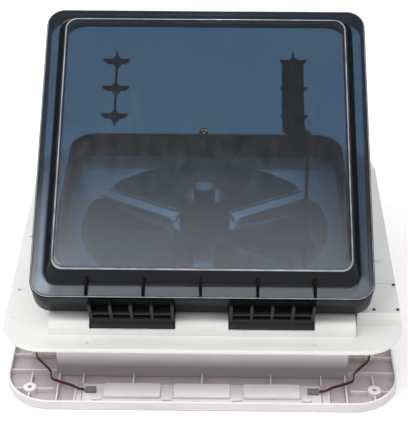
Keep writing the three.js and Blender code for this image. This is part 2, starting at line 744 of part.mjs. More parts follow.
function trimFrame() {
  const outline = roundedRect(TRIM_W, TRIM_D, TRIM_R);
  const floor = prism(outline, 0, TRIM_WALL, 5);
  const inset = 2 * TRIM_WALL;
  const rim = cut(
    prism(outline, 0, TRIM_RIM, 5),
    prism(roundedRect(TRIM_W - inset, TRIM_D - inset, TRIM_R - TRIM_WALL), -1, TRIM_RIM + 1, 5),
  );
  const collar = prism(roundedRect(COLLAR, COLLAR, 22), 0, COLLAR_TOP);
  const room = COLLAR - inset;
  const collarRoom = prism(roundedRect(room, room, 19.5), TRIM_WALL, COLLAR_TOP + 1);
  const opening = prism(roundedRect(TRIM_OPENING, TRIM_OPENING, 14), -1, 10);
  const bosses = corners.map(([x, y]) => post(8, BOSS_X * x, BOSS_Y * y, 0, 11, 6));
  const bossHoles = corners.map(([x, y]) => post(2.6, BOSS_X * x, BOSS_Y * y, -1, 12, 5));
  const slots = corners.map(([x, y]) => box(span(x * 198, 3), span(y * 220, 9), [-1, TRIM_WALL + 1]));
  return cut(
    union(floor, rim, collar, bosses, trimRibs()),
    collarRoom,
    opening,
    bossHoles,
    slots,
    box(span(0, 270), span(LIGHT_Y, 20), [-1, 20]),
    box(span(PANEL_X, CONTROL[0]), span(0, CONTROL[1]), [-1, 20]),
  );
}

function lightHousing() {
  const tray = cut(
    box(span(0, 2 * LIGHT_HALF), span(LIGHT_Y, LIGHT_DEPTH), [2.8, LIGHT_TOP]),
    box(span(0, 2 * LIGHT_HALF - 5), span(LIGHT_Y, LIGHT_DEPTH - 5), [1, LIGHT_TOP - 2]),
  );
  const front = LIGHT_Y - LIGHT_DEPTH / 2;
  const clips = [-123.5, -41.2, 41.2, 123.5].map((x) =>
    box(span(x, 11), [front, front + 5], [LIGHT_TOP - 0.1, LIGHT_TOP + 2.2]),
  );
  return union(tray, clips);
}

function lightCover(x) {
  return taperedBlock(68, 25, 3, 0, 0, 3.6, 0.6).translate([x, LIGHT_Y + 1, LIGHT_TOP + GAP]);
}

function screenFrame() {
  const outer = COLLAR - 2 * TRIM_WALL - 2 * GAP;
  return cut(
    prism(roundedRect(outer, outer, 19), TRIM_WALL + GAP, 8),
    prism(roundedRect(306, 306, 10), 0, 10),
  );
}

add('trim_frame', trimFrame(), TRIM_WHITE);
add('light_lens', box(span(0, 269.4), span(LIGHT_Y, 19.4), [0.4, 2.4]), LENS);
add('led_strip', box(span(0, 256), span(LIGHT_Y, 10), [4, 5.2]), BOARD);
add('light_housing', lightHousing(), TRIM_WHITE);
[-82.5, 0, 82.5].forEach((x, i) => add(`light_cover_${i + 1}`, lightCover(x), TRIM_WHITE));
add('screen_frame', screenFrame(), TRIM_WHITE);
add('insect_screen', prism(roundedRect(305.4, 305.4, 9.7), 5, 5.8), FAN_GREY);

// ---- Control panel ----------------------------------------------------------------------------------
const BUTTON_R = 8;
const BUTTONS = [
  ['lid', -30],
  ['fan', 0],
  ['light', 30],
];

function controlPanel() {
  const [w, d] = CONTROL.map((size) => size - 2 * GAP);
  const plate = box(span(PANEL_X, w), span(0, d), [1.6, 4]);
  return cut(plate, BUTTONS.map(([, y]) => post(BUTTON_R + GAP, PANEL_X, y, 0, 6, 6)));
}

// Each button has a flange behind the panel that keeps it in.
function button(y) {
  return union(post(BUTTON_R, PANEL_X, y, 0.6, 4.5), post(BUTTON_R + 1.5, PANEL_X, y, 4.3, 5.1));
}

add('control_panel', controlPanel(), TRIM_WHITE);
add('button_board', box(span(PANEL_X, 30), span(0, 96), [6.4, 8]), BOARD);
BUTTONS.forEach(([name, y]) => add(`button_${name}`, button(y), BLACK));

// ---- Light bar wiring -----------------------------------------------------------------------------
const WIRE_R = 0.9;
const LEAD_PLUG_Y = -141;

// The lead's middle line from its plug to the light bar's connector, on the +X side.
const LEAD_ROUTE = [
  [203, -146.4, 15],
  [200, -155, 14.6],
  [190, -167, 13.6],
  [182, -178, 12.6],
  [180, -189.5, 12.2],
  [170, -196.5, 12.4],
  [155, -203.5, 12.8],
  [146, -208.5, 12],
  [138.4, LIGHT_Y + 1.5, 11.2],
];

function wire(sign, offset) {
  const points = LEAD_ROUTE.map(([x, y, z]) => new THREE.Vector3(sign * x, y, z + offset));
  const route = new THREE.CatmullRomCurve3(points);
  const section = new THREE.Shape().absarc(0, 0, WIRE_R, 0, 2 * Math.PI, false);
  return solid(new THREE.ExtrudeGeometry(section, { steps: 20, curveSegments: 4, extrudePath: route }));
}

for (const [side, sign] of bothSides) {
  const connector = box(span(sign * 131.5, 13), span(LIGHT_Y + 1.5, 8), [LIGHT_TOP + GAP, 13.2]);
  add(`light_connector_${side}`, connector, CONNECTOR);
  add(`lead_plug_${side}`, box(span(sign * 203, 12), span(LEAD_PLUG_Y, 10), [9.5, 18.5]), LENS);
  add(`lead_red_${side}`, wire(sign, 1.1), RED);
  add(`lead_black_${side}`, wire(sign, -1.1), WIRE_BLACK);
  const bracket = union(
    box(span(sign * 146.5, 9), span(LIGHT_Y, 30), [2.8, 5]),
    box(span(sign * 149.8, 2.4), span(LIGHT_Y, 30), [2.8, 8]),
  );
  add(`light_bracket_${side}`, bracket, TRIM_WHITE);
}

export default model;
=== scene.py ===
import json
import math

import bmesh
import bpy
from mathutils import Matrix, Vector


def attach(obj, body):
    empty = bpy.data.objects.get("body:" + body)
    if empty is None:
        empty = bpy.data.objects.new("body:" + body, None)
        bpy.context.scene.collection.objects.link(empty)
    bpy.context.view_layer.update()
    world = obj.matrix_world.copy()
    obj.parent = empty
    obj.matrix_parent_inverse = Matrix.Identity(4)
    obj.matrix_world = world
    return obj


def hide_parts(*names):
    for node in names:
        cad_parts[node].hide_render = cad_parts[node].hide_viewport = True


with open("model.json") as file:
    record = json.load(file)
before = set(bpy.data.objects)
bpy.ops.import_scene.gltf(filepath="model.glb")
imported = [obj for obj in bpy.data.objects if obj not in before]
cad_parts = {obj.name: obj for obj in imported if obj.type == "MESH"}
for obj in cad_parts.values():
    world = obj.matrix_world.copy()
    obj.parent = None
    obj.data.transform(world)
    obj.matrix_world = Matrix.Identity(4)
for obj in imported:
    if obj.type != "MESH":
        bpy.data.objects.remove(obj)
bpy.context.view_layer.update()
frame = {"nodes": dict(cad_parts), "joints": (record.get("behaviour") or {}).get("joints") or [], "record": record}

MM = 0.001  # metres
scene = bpy.context.scene
nodes = frame["nodes"]
record = frame["record"]
body_of = {n: body for body, names in record["behaviour"]["bodies"].items() for n in names}

HINGE = next(j["pos_m"] for j in frame["joints"] if j["name"] == "lid_hinge")
LID_OPEN = math.radians(33.2)
OPEN = (
    Matrix.Translation(HINGE)
    @ Matrix.Rotation(LID_OPEN, 4, "X")
    @ Matrix.Translation([-value for value in HINGE])
)
HINGE_Y, HINGE_Z = HINGE[1] / MM, HINGE[2] / MM
GAP = 0.3
LID_FACE = 155.0
# The directions in which the open lid's own height and depth run.
LID_UP = (0, -math.sin(LID_OPEN), math.cos(LID_OPEN))
LID_BACK = (0, math.cos(LID_OPEN), math.sin(LID_OPEN))
# How far the open lid's rim face lies from the origin, along LID_UP.
RIM_HEIGHT = LID_FACE - HINGE_Z + Vector(LID_UP).dot(HINGE) / MM


# ---- Camera and light -------------------------------------------------------------------------
CAMERA_TURN = (0.84, 32.04, 0.06)  # yaw, pitch and roll in degrees
CAMERA_PLACE = (0.0211, -1.4831, 1.0571)
LENS_LENGTH, SENSOR_WIDTH, FAR_CLIP = 117.5, 36, 60
BANK_FORWARD = (-0.13, -0.25)  # edges of the overhead bank, as parts of a unit direction
BANK_OVERHEAD = (0.55, 0.95)
AIR_STRENGTH, BANK_STRENGTH = 0.36, 3.6


def make_camera():
    yaw, pitch, roll = (math.radians(a) for a in CAMERA_TURN)
    ahead = math.cos(pitch)
    forward = Vector((-math.sin(yaw) * ahead, math.cos(yaw) * ahead, -math.sin(pitch)))
    level = Vector((math.cos(yaw), math.sin(yaw), 0))
    right = math.cos(roll) * level + math.sin(roll) * level.cross(forward)
    up = right.cross(forward)
    data = bpy.data.cameras.new("camera")
    data.lens = LENS_LENGTH
    data.sensor_width = SENSOR_WIDTH
    data.clip_end = FAR_CLIP
    camera = bpy.data.objects.new("camera", data)
    scene.collection.objects.link(camera)
    turn = Matrix((right, up, -forward)).transposed().to_4x4()
    camera.matrix_world = Matrix.Translation(CAMERA_PLACE) @ turn
    scene.camera = camera


def aimed_light(name, kind, place, target, power):
    """A light that faces its target. Its data is returned for the settings of its kind."""
    data = bpy.data.lights.new(name, kind)
    data.energy = power
    light = bpy.data.objects.new(name, data)
    light.location = place
    light.rotation_euler = (Vector(target) - Vector(place)).to_track_quat("-Z", "Y").to_euler()
    scene.collection.objects.link(light)
    return data


def area_light(name, place, target, size, power):
    data = aimed_light(name, "AREA", place, target, power)
    data.shape = "RECTANGLE"
    data.size, data.size_y = size


def spot_light(name, place, target, cone, power):
    """A narrow cone that reaches the deck under the open lid."""
    data = aimed_light(name, "SPOT", place, target, power)
    data.spot_size = math.radians(cone)
    data.spot_blend = 0.35
    data.shadow_soft_size = 0.1


def studio_world():
    """White studio air with one soft overhead bank that stands in front of the vent."""
    world = bpy.data.worlds.new("studio")
    scene.world = world
    world.use_nodes = True
    tree = world.node_tree
    tree.nodes.clear()
    direction = tree.nodes.new("ShaderNodeTexCoord")
    split = tree.nodes.new("ShaderNodeSeparateXYZ")
    tree.links.new(direction.outputs["Generated"], split.inputs[0])
    bank = tree.nodes.new("ShaderNodeMath")
    bank.operation = "MULTIPLY"
    for socket, axis, (start, stop) in zip(bank.inputs, "YZ", (BANK_FORWARD, BANK_OVERHEAD)):
        edge = tree.nodes.new("ShaderNodeMapRange")
        edge.interpolation_type = "SMOOTHSTEP"
        edge.inputs["From Min"].default_value = start
        edge.inputs["From Max"].default_value = stop
        tree.links.new(split.outputs[axis], edge.inputs["Value"])
        tree.links.new(edge.outputs[0], socket)
    strength = tree.nodes.new("ShaderNodeMapRange")
    strength.inputs["To Min"].default_value = AIR_STRENGTH
    strength.inputs["To Max"].default_value = BANK_STRENGTH
    tree.links.new(bank.outputs[0], strength.inputs["Value"])
    background = tree.nodes.new("ShaderNodeBackground")
    background.inputs["Color"].default_value = (1, 1, 1, 1)
    tree.links.new(strength.outputs[0], background.inputs["Strength"])
    output = tree.nodes.new("ShaderNodeOutputWorld")
    tree.links.new(background.outputs[0], output.inputs["Surface"])


make_camera()
studio_world()
area_light("front_card", (0.1, -2.6, 0.55), (0, 0, 0.07), (2.4, 0.6), 2)
area_light("left_bank", (-2.2, -0.7, 1.9), (0, 0, 0.1), (1.6, 1.6), 7)
area_light("top_bank", (-1.1, -1.0, 2.6), (0, 0, 0.1), (1.0, 1.0), 16)
area_light("back_bank", (-0.4, 1.7, 1.5), (0, 0, 0.1), (1.8, 1.0), 12)
spot_light("deck_spot", (0, 1.75, 1.55), (0, 0.07, 0.11), 7.0, 240)
scene.view_settings.view_transform = "Standard"


# ---- Materials --------------------------------------------------------------------------------
ACRYLIC_IOR = 1.49
SHEET_TINTS = (0.16, 0.25, 0.338, 1), (0.176, 0.268, 0.355, 1)
WALL_TINT = (0.03, 0.042, 0.055, 1)
WALL_SHEEN = 0.35
LEVEL_FROM, LEVEL_TO = 0.7, 0.86  # how squarely a face looks along the lid's height: wall, sheet
DUST_COVER = (0.006, 0.016)
HIGHLIGHT_BAND = (-0.002, 0.023)  # metres above the rim face between which the painted highlights on the lid's edges lie
POCKET_SHADE_BAND = (-5 * MM, 5 * MM)  # behind the hinge axis: the blocks' faces, and the depth of their pockets, for painted shade
TRIM_SHADE_BAND = (0.002, 0.0125)  # heights of the trim's floor and of its ribs' tops, over which painted shade fades
THROAT_SHADE_BAND = (0.018, 0.088)  # heights of the throat wall's foot, dark with painted shade, and of its pale top


def linear(red, green, blue):
    """sRGB bytes as a linear colour."""
    def one(value):
        value /= 255
        return value / 12.92 if value <= 0.04045 else ((value + 0.055) / 1.055) ** 2.4
    return (one(red), one(green), one(blue), 1)


def grey(value):
    return (value, value, value, 1)


class Shader:
    """A node tree under construction, with the object's own coordinates in metres."""

    def __init__(self, name):
        self.material = bpy.data.materials.new(name)
        self.material.use_nodes = True
        self.tree = self.material.node_tree
        self.tree.nodes.clear()
        self.output = self.add("ShaderNodeOutputMaterial")
        source = self.add("ShaderNodeTexCoord")
        self.place = source.outputs["Object"]
        self.normal = source.outputs["Normal"]

    def add(self, kind, **values):
        node = self.tree.nodes.new(kind)
        for name, value in values.items():
            setattr(node, name, value)
        return node

    def link(self, a, b):
        self.tree.links.new(a, b)

    def noise(self, scale, detail=2.0, stretch=(1, 1, 1)):
        """Noise over the object, most of it between 0.3 and 0.7."""
        node = self.add("ShaderNodeTexNoise")
        node.inputs["Scale"].default_value = scale
        node.inputs["Detail"].default_value = detail
        mapping = self.add("ShaderNodeMapping")
        mapping.inputs["Scale"].default_value = stretch
        self.link(self.place, mapping.inputs["Vector"])
        self.link(mapping.outputs[0], node.inputs["Vector"])
        return node.outputs["Fac"]

    def spread(self, value, low, high, start=0.3, stop=0.7):
        """Maps start to low and stop to high."""
        node = self.add("ShaderNodeMapRange")
        limits = {"From Min": start, "From Max": stop, "To Min": low, "To Max": high}
        for name, number in limits.items():
            node.inputs[name].default_value = number
        self.link(value, node.inputs["Value"])
        return node.outputs[0]

    def tones(self, value, *stops):
        """A colour ramp over (position, colour) stops."""
        node = self.add("ShaderNodeValToRGB")
        ramp = node.color_ramp
        while len(ramp.elements) < len(stops):
            ramp.elements.new(0.5)
        for element, (position, color) in zip(ramp.elements, stops):
            element.position = position
            element.color = color
        self.link(value, node.inputs[0])
        return node.outputs[0]

    def mix(self, share, a, b, blend="MIX"):
        node = self.add("ShaderNodeMix", data_type="RGBA", blend_type=blend)
        if isinstance(share, float):
            node.inputs[0].default_value = share
        else:
            self.link(share, node.inputs[0])
        for socket, value in ((node.inputs[6], a), (node.inputs[7], b)):
            if isinstance(value, tuple):
                socket.default_value = value
            else:
                self.link(value, socket)
        return node.outputs[2]

    def math(self, operation, *values):
        node = self.add("ShaderNodeMath", operation=operation)
        for value, socket in zip(values, node.inputs):
            self.link(value, socket)
        return node.outputs[0]

    def along(self, vector, axis):
        """How far a vector reaches along a fixed axis."""
        node = self.add("ShaderNodeVectorMath", operation="DOT_PRODUCT")
        self.link(vector, node.inputs[0])
        node.inputs[1].default_value = axis
        return node.outputs["Value"]

    def layer(self, share, under, over):
        """One surface shader partly covered by another."""
        node = self.add("ShaderNodeMixShader")
        for value, socket in zip((share, under, over), node.inputs):
            self.link(value, socket)
        return node.outputs[0]

    def bump(self, height, strength, distance, under=None):
        node = self.add("ShaderNodeBump")
        node.inputs["Strength"].default_value = strength
        node.inputs["Distance"].default_value = distance
        self.link(height, node.inputs["Height"])
        if under is not None:
            self.link(under, node.inputs["Normal"])
        return node.outputs[0]

    def drift(self):
        """The slow change of tone over a moulding."""
        return self.noise(9.0, 3.0)

    def flow(self):
        """The faint lines along which plastic ran into its mould."""
        return self.noise(14.0, 4.0, (1, 3, 0.6))

    def grain(self, scale, strength):
        """The fine bumps of a spark-eroded mould."""
        return self.bump(self.noise(scale, 2.0), strength, 0.0002)

    def finish(self, color, roughness, normal, **values):
        shader = self.add("ShaderNodeBsdfPrincipled")
        for socket, value in (("Base Color", color), ("Roughness", roughness), ("Normal", normal)):
            self.link(value, shader.inputs[socket])
        for name, value in values.items():
            label = name.replace("_", " ").title().replace("Ior", "IOR")
            shader.inputs[label].default_value = value
        self.link(shader.outputs[0], self.output.inputs["Surface"])
        return self.material


def moulded(name, light, dark, roughness, grain=0.06, scale=2200.0, gloss=0.5):
    """Injection-moulded plastic: slow colour drift, fine specks, faint flow lines and grain."""
    shader = Shader(name)
    body = shader.tones(shader.drift(), (0.3, linear(*dark)), (0.7, linear(*light)))
    specks = shader.tones(shader.noise(900.0, 1.0), (0.24, grey(0.86)), (0.36, grey(1)))
    color = shader.mix(0.35, body, specks, "MULTIPLY")
    rough = shader.spread(shader.flow(), *roughness)
    normal = shader.bump(shader.noise(28.0, 1.0), 0.05, 0.002, shader.grain(scale, grain))
    return shader.finish(color, rough, normal, specular_ior_level=gloss)


def hinge_material():
    """Black nylon, with painted light and shade: pale on the faces of its fins, near black deep in its pockets."""
    shader = Shader("hinge_nylon")
    axis = Vector(LID_BACK).dot(HINGE)
    face, pocket = POCKET_SHADE_BAND
    # Painted shade: the tone falls from pale grey at the fins' faces to near black deep in the pockets.
    body = shader.tones(
        shader.spread(shader.along(shader.place, LID_BACK), 0.0, 1.0, axis + face, axis + pocket),
        (0.0, linear(60, 60, 61)), (0.35, linear(14, 14, 15)), (0.6, linear(4, 4, 5)),
    )
    mottle = shader.tones(shader.drift(), (0.3, grey(0.85)), (0.7, grey(1)))
    color = shader.mix(1.0, body, mottle, "MULTIPLY")
    rough = shader.spread(shader.flow(), 0.5, 0.62)
    return shader.finish(color, rough, shader.grain(1500.0, 0.14), specular_ior_level=0.06)


def trim_material():
    """White plastic, with painted shade: darker and pinker low on its floor than on the tops of its ribs."""
    shader = Shader("trim_abs")
    # Painted shade by height lies only on upward faces; upright faces take the plain tone below.
    upward = shader.spread(shader.along(shader.normal, (0, 0, 1)), 0.0, 1.0, 0.3, 0.8)
    painted_floor_shade = shader.tones(
        shader.spread(shader.along(shader.place, (0, 0, 1)), 0.0, 1.0, *TRIM_SHADE_BAND),
        (0.0, linear(188, 176, 180)), (0.25, linear(196, 185, 189)), (0.62, linear(240, 237, 238)),
    )
    # Upright faces: a slow drift of tone, a little greyer than the flange's white as painted shade.
    sides = shader.tones(
        shader.drift(), (0.3, linear(211, 205, 207)), (0.7, linear(221, 216, 217))
    )
    color = shader.mix(upward, sides, painted_floor_shade)
    rough = shader.spread(shader.flow(), 0.4, 0.55)
    return shader.finish(color, rough, shader.grain(2200.0, 0.06))


def throat_material():
    """The grey-white of the throat wall, with painted shade that darkens it towards its lower edge."""
    shader = Shader("throat_wall")
    height = shader.spread(shader.along(shader.place, (0, 0, 1)), 0.0, 1.0, *THROAT_SHADE_BAND)
    cloud = shader.noise(22.0, 4.0)
    # Painted shade: dark at the wall's foot and pale at its top, with a little noise in the edge.
    color = shader.tones(
        shader.math("ADD", height, shader.spread(cloud, -0.012, 0.012)),
        (0.0, linear(104, 97, 98)), (0.3, linear(228, 222, 222)), (1.0, linear(248, 245, 244)),
    )
    # The faint emission is a painted glow that lifts the wall where it stands in shade.
    return shader.finish(
        color, shader.spread(cloud, 0.42, 0.58), shader.grain(1800.0, 0.08),
        emission_color=(0.97, 0.94, 0.94, 1), emission_strength=0.1,
    )


def metal(name, light, dark, roughness, stretch=(1, 1, 1)):
    """Brushed metal with faint stains."""
    shader = Shader(name)
    ends = (0.3, linear(*dark)), (0.7, linear(*light))
    brushed = shader.noise(600.0, 3.0, stretch)
    stain = shader.noise(60.0, 3.0)
    color = shader.mix(0.3, shader.tones(stain, *ends), shader.tones(brushed, *ends))
    rough = shader.spread(brushed, *roughness)
    return shader.finish(color, rough, shader.bump(brushed, 0.12, 0.0001), metallic=1.0)


def rubber_material():
    shader = Shader("seal_rubber")
    bloom = shader.noise(40.0, 5.0)
    color = shader.tones(bloom, (0.35, linear(27, 28, 30)), (0.75, linear(48, 50, 53)))
    skin = shader.bump(shader.noise(1400.0, 3.0), 0.25, 0.0003)
    return shader.finish(color, shader.spread(bloom, 0.62, 0.85), skin, specular_ior_level=0.35)


def board_material():
    """Circuit board: green solder mask over a pattern of copper runs."""
    shader = Shader("board_mask")
    runs = shader.add("ShaderNodeTexBrick")
    runs.offset = 0.5
    runs.inputs["Scale"].default_value = 160.0
    runs.inputs["Mortar Size"].default_value = 0.03
    runs.inputs["Color1"].default_value = linear(20, 84, 52)
    runs.inputs["Color2"].default_value = linear(26, 98, 60)
    runs.inputs["Mortar"].default_value = linear(44, 132, 84)
    shader.link(shader.place, runs.inputs["Vector"])
    weave = shader.noise(700.0, 2.0)
    shade = shader.spread(weave, 0.0, 0.35)
    color = shader.mix(shade, runs.outputs["Color"], linear(14, 60, 38))
    rough = shader.spread(weave, 0.28, 0.42)
    return shader.finish(color, rough, shader.bump(weave, 0.1, 0.0002))


def lens_material():
    """Opal diffuser with fine prism lines along its length."""
    shader = Shader("opal_lens")
    lines = shader.add("ShaderNodeTexWave", wave_type="BANDS", bands_direction="Y")
    lines.inputs["Scale"].default_value = 160.0
    shader.link(shader.place, lines.inputs["Vector"])
    cloud = shader.noise(30.0, 3.0)
    color = shader.tones(cloud, (0.3, linear(232, 228, 218)), (0.7, linear(246, 244, 238)))
    return shader.finish(
        color, shader.spread(cloud, 0.3, 0.4), shader.bump(lines.outputs["Fac"], 0.3, 0.0003),
        subsurface_weight=0.2, subsurface_scale=0.003,
    )


def smoked_acrylic():
    """Tinted clear sheet: blue-grey over the panel, near black along its steep walls.

    Pale lines of painted highlight lie along its rounded edges, and a thin film of dust lies on it.
    """
    shader = Shader("smoked_acrylic")
    facing = shader.along(shader.normal, LID_UP)
    level = shader.spread(shader.math("ABSOLUTE", facing), 0.0, 1.0, LEVEL_FROM, LEVEL_TO)
    patches = shader.spread(shader.noise(7.0, 4.0), 0.0, 1.0, 0.25, 0.75)
    clear = shader.add("ShaderNodeBsdfTransparent")
    tint = shader.mix(level, WALL_TINT, shader.mix(patches, *SHEET_TINTS))
    shader.link(tint, clear.inputs["Color"])

    rim = RIM_HEIGHT * MM
    low, high = HIGHLIGHT_BAND
    # Painted highlight: pale lines where the rim's and the panel's rounded edges lean part way between up and out.
    outer = shader.tones(
        shader.spread(shader.along(shader.place, LID_UP), 0.0, 1.0, rim + low, rim + high),
        (0.07, grey(1)), (0.1, grey(0)), (0.6, grey(0)), (0.72, grey(1)),
    )
    corner = shader.tones(
        facing, (0.68, grey(0)), (0.78, grey(0.7)), (0.87, grey(0.7)), (0.95, grey(0))
    )
    edge_highlight = shader.mix(1.0, corner, outer, "MULTIPLY")
    streaks = shader.spread(shader.noise(60.0, 4.0), 0.5, 1.0)
    dust = shader.spread(shader.noise(420.0, 3.0), *DUST_COVER)
    dust_and_highlight_film = shader.add("ShaderNodeBsdfDiffuse")
    dust_and_highlight_film.inputs["Color"].default_value = linear(214, 219, 226)
    # The pale film carries both the painted highlight along the edges and a thin spread of real dust.
    cover = shader.math("ADD", shader.math("MULTIPLY", edge_highlight, streaks), dust)
    dust_and_highlight = shader.layer(cover, clear.outputs[0], dust_and_highlight_film.outputs[0])

    scuffs = shader.spread(shader.noise(90.0, 5.0, (1, 0.12, 1)), 0.1, 0.2)
    mirror = shader.add("ShaderNodeBsdfGlossy")
    mirror.inputs["Color"].default_value = (0.93, 0.95, 1.0, 1)
    shader.link(scuffs, mirror.inputs["Roughness"])
    shader.link(shader.bump(shader.noise(11.0, 2.0), 0.03, 0.004), mirror.inputs["Normal"])
    fresnel = shader.add("ShaderNodeFresnel")
    fresnel.inputs["IOR"].default_value = ACRYLIC_IOR
    gloss = shader.spread(level, WALL_SHEEN, 1.0, 0.0, 1.0)
    sheen = shader.math("MULTIPLY", fresnel.outputs[0], gloss)
    sheet = shader.layer(sheen, dust_and_highlight, mirror.outputs[0])
    shader.link(sheet, shader.output.inputs["Surface"])
    return shader.material


WHITE = moulded("white_abs", (236, 236, 234), (229, 229, 226), (0.36, 0.5))
TRIM = trim_material()
LIGHT_BAR = moulded("light_bar_abs", (222, 218, 220), (212, 208, 210), (0.38, 0.5))
BLACK = moulded("black_nylon", (34, 34, 35), (24, 24, 25), (0.38, 0.54), 0.14, 1500.0, 0.35)
HINGE_BLACK = hinge_material()
GREY_CAN = moulded("motor_can", (92, 97, 103), (78, 83, 89), (0.34, 0.48), 0.1)
FAN = moulded("fan_nylon", (80, 84, 92), (66, 70, 78), (0.38, 0.52), 0.1)
SMOKE_DARK = moulded("smoked_boss", (18, 20, 24), (12, 14, 17), (0.3, 0.45), 0.05, gloss=0.25)
GUSSET = moulded("smoked_gusset", (9, 10, 12), (6, 7, 8), (0.3, 0.45), 0.05, gloss=0.08)
CAP = moulded("cap_abs", (182, 184, 186), (168, 170, 172), (0.38, 0.5))
PLUG = moulded("plug_nylon", (34, 37, 42), (26, 29, 33), (0.1, 0.16), 0.04)
CONNECTOR = moulded("connector_nylon", (122, 118, 120), (104, 100, 102), (0.45, 0.6), 0.1)
RED = moulded("lead_red", (112, 30, 35), (88, 22, 27), (0.35, 0.5), 0.08)
LEAD_BLACK = moulded("lead_black", (44, 34, 37), (30, 24, 26), (0.35, 0.5), 0.08)
THROAT = throat_material()
STEEL = metal("zinc_steel", (196, 198, 202), (160, 163, 168), (0.24, 0.4), (1, 1, 8))
SCREW = metal("black_zinc", (104, 104, 108), (72, 72, 76), (0.3, 0.45))
BRASS = metal("brass", (206, 176, 104), (172, 140, 74), (0.25, 0.4), (1, 1, 6))
MESH = metal("screen_wire", (92, 94, 100), (64, 66, 72), (0.35, 0.5))
RUBBER = rubber_material()
BOARD = board_material()
LENS = lens_material()
SMOKE = smoked_acrylic()


# ---- Meshes -----------------------------------------------------------------------------------
BEVEL = {"segments": 2, "profile": 0.5, "affect": "EDGES"}
SHARP = 35.0  # degrees between two faces, above which the edge between them shades as sharp
FLAT_ANGLE, CORNER_ANGLE = math.radians(0.6), math.radians(28)
WELD = 1e-6  # metres


def outline(w, d, r, x=0.0, y=0.0, steps=10):
    """Points of a rounded rectangle, anticlockwise."""
    points = []
    a, b = w / 2 - r, d / 2 - r
    for quarter, (cx, cy) in enumerate(((a, -b), (a, b), (-a, b), (-a, -b))):
        for i in range(steps + 1):
            angle = math.radians(90 * (quarter - 1 + i / steps))
            points.append((x + cx + r * math.cos(angle), y + cy + r * math.sin(angle)))
    return points


def circle(r, x=0.0, y=0.0, steps=48):
    turns = (2 * math.pi * i / steps for i in range(steps))
    return [(x + r * math.cos(t), y + r * math.sin(t)) for t in turns]


def shade(mesh, sharp):
    mesh.shade_smooth()
    mesh.set_sharp_from_angle(angle=math.radians(sharp))


def from_bmesh(name, bm, sharp=SHARP):
    bmesh.ops.recalc_face_normals(bm, faces=bm.faces)
    mesh = bpy.data.meshes.new(name)
    bm.to_mesh(mesh)
    bm.free()
    mesh.update()
    shade(mesh, sharp)
    made = bpy.data.objects.new(name, mesh)
    scene.collection.objects.link(made)
    return made


def loft(name, rings, closed=False, place=None, sharp=SHARP):
    """A skin through rings of equal length, with its ends filled, or joined if closed."""
    bm = bmesh.new()
    rows = [[bm.verts.new(Vector(p) * MM) for p in ring] for ring in rings]
    pairs = list(zip(rows, rows[1:])) + ([(rows[-1], rows[0])] if closed else [])
    for low, high in pairs:
        for i in range(len(low)):
            j = (i + 1) % len(low)
            bm.faces.new((low[i], low[j], high[j], high[i]))
    if not closed:
        bm.faces.new(list(reversed(rows[0])))
        bm.faces.new(rows[-1])
    if place is not None:
        bm.transform(place)
    return from_bmesh(name, bm, sharp)


def flat(points, z):
    return [(x, y, z) for x, y in points]


def span(middle, size):
    return (middle - size / 2, middle + size / 2)


def rounded(r, steps=4):
    """(inset, rise) pairs over a quarter round of radius r, starting upright."""
    turns = [math.pi / 2 * i / steps for i in range(steps + 1)]
    return [(r - r * math.cos(t), r * math.sin(t)) for t in turns]


def slab(name, w, d, r, z0, z1, top=0.0, bottom=0.0, steps=10):
    """A rounded rectangle drawn up from z0 to z1, with its top and bottom edges rounded over."""
    low, high = [(0, z0)], [(0, z1)]
    if bottom:
        low = [(inset, z0 + bottom - rise) for inset, rise in reversed(rounded(bottom))]
    if top:
        high = [(inset, z1 - top + rise) for inset, rise in rounded(top)]
    return loft(name, [
        flat(outline(w - 2 * inset, d - 2 * inset, max(r - inset, 0.05), steps=steps), z)
        for inset, z in low + high
    ])


def turned(name, profile, steps=48, x=0.0, y=0.0, sharp=SHARP):
    """A solid of revolution about Z through (radius, z) points, bottom to top."""
    return loft(name, [flat(circle(r, x, y, steps), z) for r, z in profile], sharp=sharp)


def cylinder(name, r, x, y, z0, z1, edge=0.0, steps=32):
    top = [(r, z1)]
    if edge:
        top = [(r - inset, z1 - edge + rise) for inset, rise in rounded(edge, 3)]
    return turned(name, [(r, z0), *top], steps, x, y)


def block(name, xs, ys, zs, edge=0.0):
    """A box, with all its edges bevelled where an edge size is given."""
    bm = bmesh.new()
    bmesh.ops.create_cube(bm, size=1)
    size = [(b - a) * MM for a, b in (xs, ys, zs)]
    middle = [(a + b) / 2 * MM for a, b in (xs, ys, zs)]
    bm.transform(Matrix.Translation(middle) @ Matrix.Diagonal((*size, 1)))
    if edge:
        bmesh.ops.bevel(bm, geom=bm.edges[:], offset=edge * MM, **BEVEL)
    return from_bmesh(name, bm)


def along_x(name, points, x0, x1, place=None):
    """A (y, z) outline drawn along X."""
    return loft(name, [[(x, y, z) for y, z in points] for x in (x0, x1)], place=place)


def rod_x(name, r, y, z, x0, x1, steps=24):
    return along_x(name, circle(r, y, z, steps), x0, x1)


def combine(target, tools, operation, sharp=SHARP):
    """Joins target with each tool, or cuts it, and removes the tools."""
    for tool in tools:
        step = target.modifiers.new("solid", "BOOLEAN")
        step.solver = "MANIFOLD"
        step.operation = operation
        step.object = tool
    graph = bpy.context.evaluated_depsgraph_get()
    mesh = bpy.data.meshes.new_from_object(target.evaluated_get(graph))
    target.modifiers.clear()
    old, target.data = target.data, mesh
    bpy.data.meshes.remove(old)
    for tool in tools:
        bpy.data.objects.remove(tool)
    bm = bmesh.new()
    bm.from_mesh(mesh)
    bmesh.ops.remove_doubles(bm, verts=bm.verts, dist=WELD)
    bmesh.ops.dissolve_degenerate(bm, edges=bm.edges, dist=WELD)
    bm.to_mesh(mesh)
    bm.free()
    shade(mesh, sharp)
    return target


def join(name, pieces):
    """Puts separate pieces into one object, without booleans."""
    bm = bmesh.new()
    for piece in pieces:
        bm.from_mesh(piece.data)
        bpy.data.objects.remove(piece)
    return from_bmesh(name, bm)


